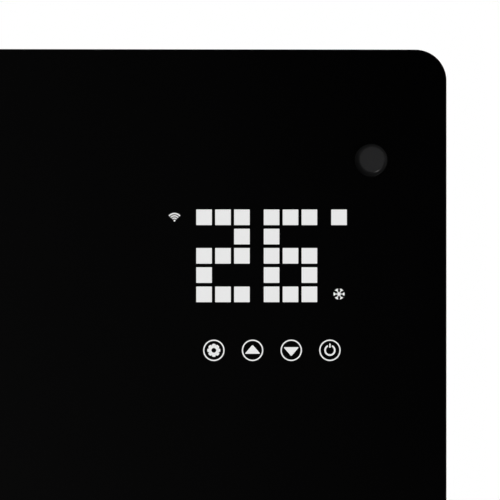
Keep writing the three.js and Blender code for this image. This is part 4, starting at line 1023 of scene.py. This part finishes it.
class BuildRearCover(Operator):
    """Moulded rear cover over the electronics, with its vents and switch window"""

    bl_idname = "heater.rear_cover"
    bl_label = "Rear cover"

    flange = 2.5 * MM
    corner = 10 * MM
    margin = 16 * MM  # how much smaller the hump's foot is than the flange
    hump_corner = 9 * MM
    draft = 2.5 * MM
    vent_pitch = 8 * MM
    vents_up = 40 * MM  # middle of the vents, above the cover's

    # Width, height, corner radius and corner steps
    vent = (64 * MM, 3.4 * MM, 1.7 * MM, 5)
    switch_window = (13.4 * MM, 19.4 * MM, 0.5 * MM, 2)

    def execute(self, context):
        sizes = context.scene.heater_body
        size = cover_high - cover_low
        foot = (size.x - self.margin, size.z - self.margin)
        origin = box_middle("rear_cover")
        origin.y = cover_low.y
        bm = bmesh.new()
        outline = rounded_face(bm, size.x, size.z, self.corner, 8, level=self.flange)
        rim = list(outline.edges)
        hump = rounded_face(bm, *foot, self.hump_corner, 8, level=self.flange)
        fill_round(bm, open_face(bm, [outline]) + list(hump.edges))
        press(bm, [hump], self.draft, size.y - self.flange)
        soften(bm, list(hump.edges), sizes.cover_rounding, 5)
        top = max(bm.faces, key=lambda f: (round(f.calc_center_median().z, 5), f.calc_area()))
        middle = (sizes.cover_vents - 1) / 2
        openings = []
        for i in range(sizes.cover_vents):
            spot = (0, self.vents_up + (i - middle) * self.vent_pitch)
            openings.append(rounded_face(bm, *self.vent, spot, size.y))
        switch = seen_from_behind(box_middle("switch_frame"), origin)
        openings.append(rounded_face(bm, *self.switch_window, switch, size.y))
        pierce(bm, top, openings)
        pull_edges(bm, rim, (0, 0, -self.flange))
        soften(bm, sharp_edges(bm, 40), 0.8 * MM, 3)
        close_up(bm)
        put(bm, Matrix.Translation(origin) @ FACING_BACK)
        plastic = grained_plastic()
        nodes = ("rear_cover",)
        wall = sizes.cover_wall
        make_piece(bm, "moulded_cover", plastic, replaces=nodes, wall=wall)
        return {"FINISHED"}


class BuildScrews(Operator):
    """Plated pan-head screws with hexagonal sockets, behind the glass, cover and feet"""

    bl_idname = "heater.screws"
    bl_label = "Screws"

    # Radii of the shank and of the head, and the head's height
    m5 = (2.5 * MM, 4.75 * MM, 2.8 * MM)
    m3 = (1.5 * MM, 2.9 * MM, 1.8 * MM)

    def execute(self, context):
        zinc = zinc_plate()
        for corner in CORNERS:
            self.screw(f"glass_screw_{corner}", zinc, *self.m5)
            self.screw(f"cover_screw_{corner}", zinc, *self.m3)
        for side in ("left", "right"):
            for end in ("lower", "upper"):
                self.screw(f"foot_screw_{side}_{end}", zinc, *self.m5)
        return {"FINISHED"}

    def screw(self, node, material, shank, head, height):
        low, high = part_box(node)
        middle = box_middle(node)
        reach = high.y - low.y - height
        crown = [(head + across, height + down) for across, down in quarter(1.2 * MM, 1.5 * MM, 6)]
        profile = [(0, -reach), (shank, -reach), (shank, 0), (head, 0)]
        bm = bmesh.new()
        turned(bm, [*profile, *reversed(crown)], 40)
        rim = [e for e in bm.edges if e.is_boundary]
        socket = round_face(bm, 1.7 * MM, 6, level=height)
        fill_round(bm, rim + list(socket.edges))
        raise_faces(bm, [socket], -min(1.6 * MM, 0.7 * height), keep=False)
        close_up(bm)
        put(bm, Matrix.Translation((middle.x, high.y - height, middle.z)) @ FACING_BACK)
        make_piece(bm, f"plated_{node}", material, replaces=(node,))


class BuildSwitch(Operator):
    """Mains rocker switch with its frame and its on and off marks"""

    bl_idname = "heater.switch"
    bl_label = "Switch"

    def execute(self, context):
        plastic = grained_plastic()
        dressed_copy("switch_bezel", "switch_frame", plastic, 0.25 * MM)
        satin = satin_plastic()
        dressed_copy("rocker_key", "switch_rocker", satin, 0.3 * MM, 3, "rocker")
        self.marks()
        return {"FINISHED"}

    def marks(self):
        """A bar on the half that is pressed and level, and a ring on the raised one."""
        _, frame_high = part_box("switch_frame")
        fold_z = box_middle("switch_frame").z + 0.6 * MM
        fold = Vector((box_middle("switch_rocker").x, frame_high.y, fold_z))
        ink = switch_ink()
        bar = bmesh.new()
        rounded_face(bar, 0.8 * MM, 3.6 * MM, 0.2 * MM, 3, (0, 3.9 * MM))
        self.print_mark(bar, "on_mark", ink, fold, 0)
        ring = bmesh.new()
        flat_ring(ring, 1.8 * MM, 1.1 * MM, (0, -3.8 * MM), steps=48)
        self.print_mark(ring, "off_mark", ink, fold, 20)

    def print_mark(self, bm, name, ink, fold, slope):
        thicken(bm, 2 * INLAY)
        turn = Matrix.Rotation(math.radians(slope), 4, "X")
        sink = Matrix.Translation((0, 0, -INLAY))
        put(bm, Matrix.Translation(fold) @ turn @ FACING_BACK @ sink)
        make_piece(bm, name, ink, body="rocker")


class BuildCableGland(Operator):
    """Cable gland under the cover with its seal, without its cord"""

    bl_idname = "heater.cable_gland"
    bl_label = "Cable gland"

    def execute(self, context):
        low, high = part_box("cable_gland")
        corner_radius = (high.x - low.x) / 2
        thread = 10 * MM
        seat = box_middle("cable_gland")
        seat.z = high.z - thread
        place = Matrix.Translation(seat) @ FACING_DOWN
        bm = bmesh.new()
        for start, end in ((0, 5 * MM), (5.8 * MM, 12.8 * MM)):
            self.hexagon(bm, corner_radius, start, end)
        tube = ((3.5, -10), (6.2, -10), (6.2, 12.8))
        dome = ((6.15, 14.2), (6, 15.6), (5.7, 16.8), (5.2, 17.5), (4.6, 17.8), (3.9, 17.8))
        mouth = ((3.5, 17.4), (3.5, -10))
        turned(bm, in_mm(tube + dome + mouth), 64)
        close_up(bm)
        put(bm, place)
        make_piece(bm, "gland_body", satin_plastic(), replaces=("cable_gland",))

        seal = bmesh.new()
        lip = ((2.6, 6), (3.45, 6), (3.45, 16.9), (3.1, 17.2), (2.6, 16.7), (2.6, 6))
        turned(seal, in_mm(lip), 48)
        close_up(seal)
        put(seal, place)
        make_piece(seal, "gland_seal", rubber("seal_rubber", 0.8 * MM))
        return {"FINISHED"}

    def hexagon(self, bm, corner_radius, start, end):
        """A hexagonal grip with its corners and rims rounded."""
        part = bmesh.new()
        face = round_face(part, corner_radius, 6)
        turn = Matrix.Rotation(math.radians(30), 4, "Z")
        put(part, Matrix.Translation((0, 0, start)) @ turn)
        raise_faces(part, [face], end - start)
        close_up(part)
        soften(part, sharp_edges(part, 40), 0.45 * MM, 3)
        mesh = bpy.data.meshes.new("grip")
        part.to_mesh(mesh)
        part.free()
        bm.from_mesh(mesh)
        bpy.data.meshes.remove(mesh)


class BuildFeet(Operator):
    """Two coated steel feet on rubber pads"""

    bl_idname = "heater.feet"
    bl_label = "Feet"

    def execute(self, context):
        coat = powder_coat()
        tread = rubber("pad_rubber", 1.4 * MM)
        for side in ("left", "right"):
            dressed_copy(f"coated_foot_{side}", f"foot_{side}", coat, 0.7 * MM, 3)
            for end in ("front", "rear"):
                self.pad(f"foot_pad_{side}_{end}", tread)
        return {"FINISHED"}

    def pad(self, node, tread):
        low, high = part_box(node)
        size = high - low
        middle = box_middle(node)
        bm = bmesh.new()
        face = rounded_face(bm, size.x, size.y, 6 * MM, 8, (middle.x, middle.y), low.z)
        raise_faces(bm, [face], size.z)
        close_up(bm)
        soften(bm, sharp_edges(bm, 60, lambda e: e.verts[0].co.z < low.z + 0.1 * MM), 0.7 * MM, 3)
        make_piece(bm, f"soft_{node}", tread, replaces=(node,))


class FinishInnerParts(Operator):
    """Gives the parts that stay as the CAD has them their finishes"""

    bl_idname = "heater.inner_parts"
    bl_label = "Inner parts"

    def execute(self, context):
        zinc = zinc_plate()
        paint_nodes(zinc, "bay_wall", "gland_lock_nut", "radio_module")
        paint_nodes(zinc, *(f"glass_spacer_{corner}" for corner in CORNERS))
        silicone = rubber("bush_silicone", 0.9 * MM)
        paint_nodes(silicone, *(f"glass_bush_{corner}" for corner in CORNERS))
        paint_nodes(heating_film(), "heating_film")
        paint_nodes(foil_board(), "insulation_board")
        plastic = grained_plastic()
        paint_nodes(plastic, "overheat_cutout", "heater_relay", "transformer", "tip_over_switch")
        pale = white_plastic()
        paint_nodes(pale, "display_diffuser", "display_light_wells", "terminal_block", "air_sensor")
        paint_nodes(circuit_board(), "display_board", "power_board")
        paint_nodes(spring_steel(), *(f"touch_spring_{i}" for i in range(1, 5)))
        wires = ("film_lead_lower", "film_lead_upper", "switch_lead", "display_cable")
        paint_nodes(wire_sleeve(), *wires)
        return {"FINISHED"}


class BuildStage(Operator):
    """Pale floor, white surroundings, soft lamps and the camera"""

    bl_idname = "heater.stage"
    bl_label = "Stage"

    def execute(self, context):
        self.world(context)
        self.floor(context)
        self.card(context)
        self.lamps(context)
        self.camera(context)
        context.scene.view_settings.view_transform = "Standard"
        return {"FINISHED"}

    def world(self, context):
        world = bpy.data.worlds.new("White surroundings")
        world.use_nodes = True
        context.scene.world = world
        graph = Graph(world.node_tree)
        background = world.node_tree.nodes["Background"]
        fill = context.scene.heater_stage.fill
        level = graph.spread(graph.seen(), fill, 1.0)
        graph.feed(background.inputs["Color"], graph.blend(level, (0, 0, 0), (1, 1, 1)))

    def floor(self, context):
        bm = bmesh.new()
        bmesh.ops.create_circle(bm, cap_ends=True, segments=96, radius=9.0)
        graph = Finish("Pale floor")
        mottle = graph.noise(60 * MM, detail=3)
        colour = tuple(context.scene.heater_stage.floor)
        paint = graph.blend(mottle, colour, tint(colour, 1.02))
        near = graph.node("ShaderNodeBsdfDiffuse", inputs={"Color": paint})
        far = graph.node("ShaderNodeEmission", inputs={"Color": (1.0, 1.0, 1.0)})
        point = {0: graph.place()}
        distance = graph.node("ShaderNodeVectorMath", {"operation": "LENGTH"}, point, "Value")
        away = graph.spread(distance, 0.0, 1.0, 0.7, 1.15) * graph.seen()
        surface = graph.node("ShaderNodeMixShader", inputs={0: away, 1: near, 2: far})
        self.add(bm, "floor", graph.shown_as(surface))

    def card(self, context):
        """A dark card before the glass, which only reflections show, white towards its rim."""
        width, rise = 3.6, 1.6
        middle = Vector((0.2, -0.5, rise / 2))
        bm = bmesh.new()
        oblong(bm, width, rise)
        put(bm, Matrix.Translation(middle) @ FACING_FRONT)
        graph = Finish("Dark card")
        point = graph.place()
        across = graph.axis(point, "X")
        height = graph.axis(point, "Z")
        dark = (0.95 - (across + height * 0.5)) * 0.075
        side = graph.spread(abs(across - middle.x), 0.0, 1.0, 0.9, 1.75)
        top = graph.spread(height, 0.0, 1.0, 0.95, 1.55)
        foot = graph.spread(height, 0.8, 0.0, 0.0, 0.16)
        level = dark.highest(side).highest(top).highest(foot)
        grey = graph.blend(level, (0, 0, 0), (1, 1, 1))
        glow = graph.node("ShaderNodeEmission", inputs={"Color": grey})
        card = self.add(bm, "dark_card", graph.shown_as(glow))
        for ray in ("camera", "diffuse", "transmission", "shadow"):
            setattr(card, f"visible_{ray}", False)

    def add(self, bm, name, material):
        made = add_mesh(bm, name, material)
        return made

    def lamps(self, context):
        middle = Vector((0, 0, 0.32))
        cap = box_middle("glass_cap_top_right")
        for name, spot, aim, size, spread, watts in (
            ("key_lamp", (-1.5, -2.2, 2.3), middle, 1.6, 180, 95),
            ("side_lamp", (2.2, -0.9, 0.9), middle, 1.2, 180, 10),
            ("back_lamp", (0.9, 2.3, 1.9), middle, 1.6, 180, 85),
            ("low_lamp", (0.69, -0.42, 0.26), cap, 0.2, 22, 0.125),
        ):
            light = bpy.data.lights.new(name, "AREA")
            light.energy = watts
            light.size = size
            light.spread = math.radians(spread)
            lamp = add_object(name, light)
            lamp.location = spot
            lamp.rotation_euler = (aim - Vector(spot)).to_track_quat("-Z", "Y").to_euler()
            lamp.visible_camera = False

    def camera(self, context):
        """Almost square on to the display's corner, 0.5 mm of the glass's front to a pixel."""
        lens = context.scene.heater_stage.lens
        view = 250 * MM
        turn = math.radians(0.26)
        data = bpy.data.cameras.new("camera")
        data.lens = lens
        data.sensor_width = 36.0
        data.clip_start = 0.01
        camera = add_object("camera", data)
        x, z = on_glass(*VIEW_CENTRE)
        away = view * lens / data.sensor_width
        camera.location = (x - away * math.tan(turn), glass_low.y - away, z)
        camera.rotation_euler = (math.radians(90), 0, -turn)
        context.scene.camera = camera


class HEATER_PT_panel(Panel):
    """Lists the heater's pieces, sizes and colours"""

    bl_label = "Panel heater"
    bl_idname = "HEATER_PT_panel"
    bl_space_type = "VIEW_3D"
    bl_region_type = "UI"
    bl_category = "Heater"

    def draw(self, context):
        for owner in SETTINGS:
            settings = getattr(context.scene, owner)
            box = self.layout.box()
            box.label(text=owner.removeprefix("heater_").capitalize())
            for name in settings.bl_rna.properties.keys():
                if name not in ("rna_type", "name"):
                    box.prop(settings, name)
        column = self.layout.column(align=True)
        for maker in MAKERS:
            column.operator(maker.bl_idname)


SETTINGS = {
    "heater_glass": HeaterGlass,
    "heater_display": HeaterDisplay,
    "heater_body": HeaterBody,
    "heater_stage": HeaterStage,
}
MAKERS = (
    BuildGlassFront,
    BuildGlassCaps,
    BuildReadout,
    BuildStatusIcons,
    BuildTouchKeys,
    BuildRearCasing,
    BuildRearCover,
    BuildScrews,
    BuildSwitch,
    BuildCableGland,
    BuildFeet,
    FinishInnerParts,
    BuildStage,
)
CLASSES = (*SETTINGS.values(), *MAKERS, HEATER_PT_panel)


def register():
    for item in CLASSES:
        bpy.utils.register_class(item)
    for name, group in SETTINGS.items():
        setattr(bpy.types.Scene, name, PointerProperty(type=group))


def unregister():
    for name in SETTINGS:
        delattr(bpy.types.Scene, name)
    for item in reversed(CLASSES):
        bpy.utils.unregister_class(item)


def main():
    register()
    for maker in MAKERS:
        getattr(bpy.ops.heater, maker.bl_idname.removeprefix("heater."))()


if __name__ == "__main__":
    main()
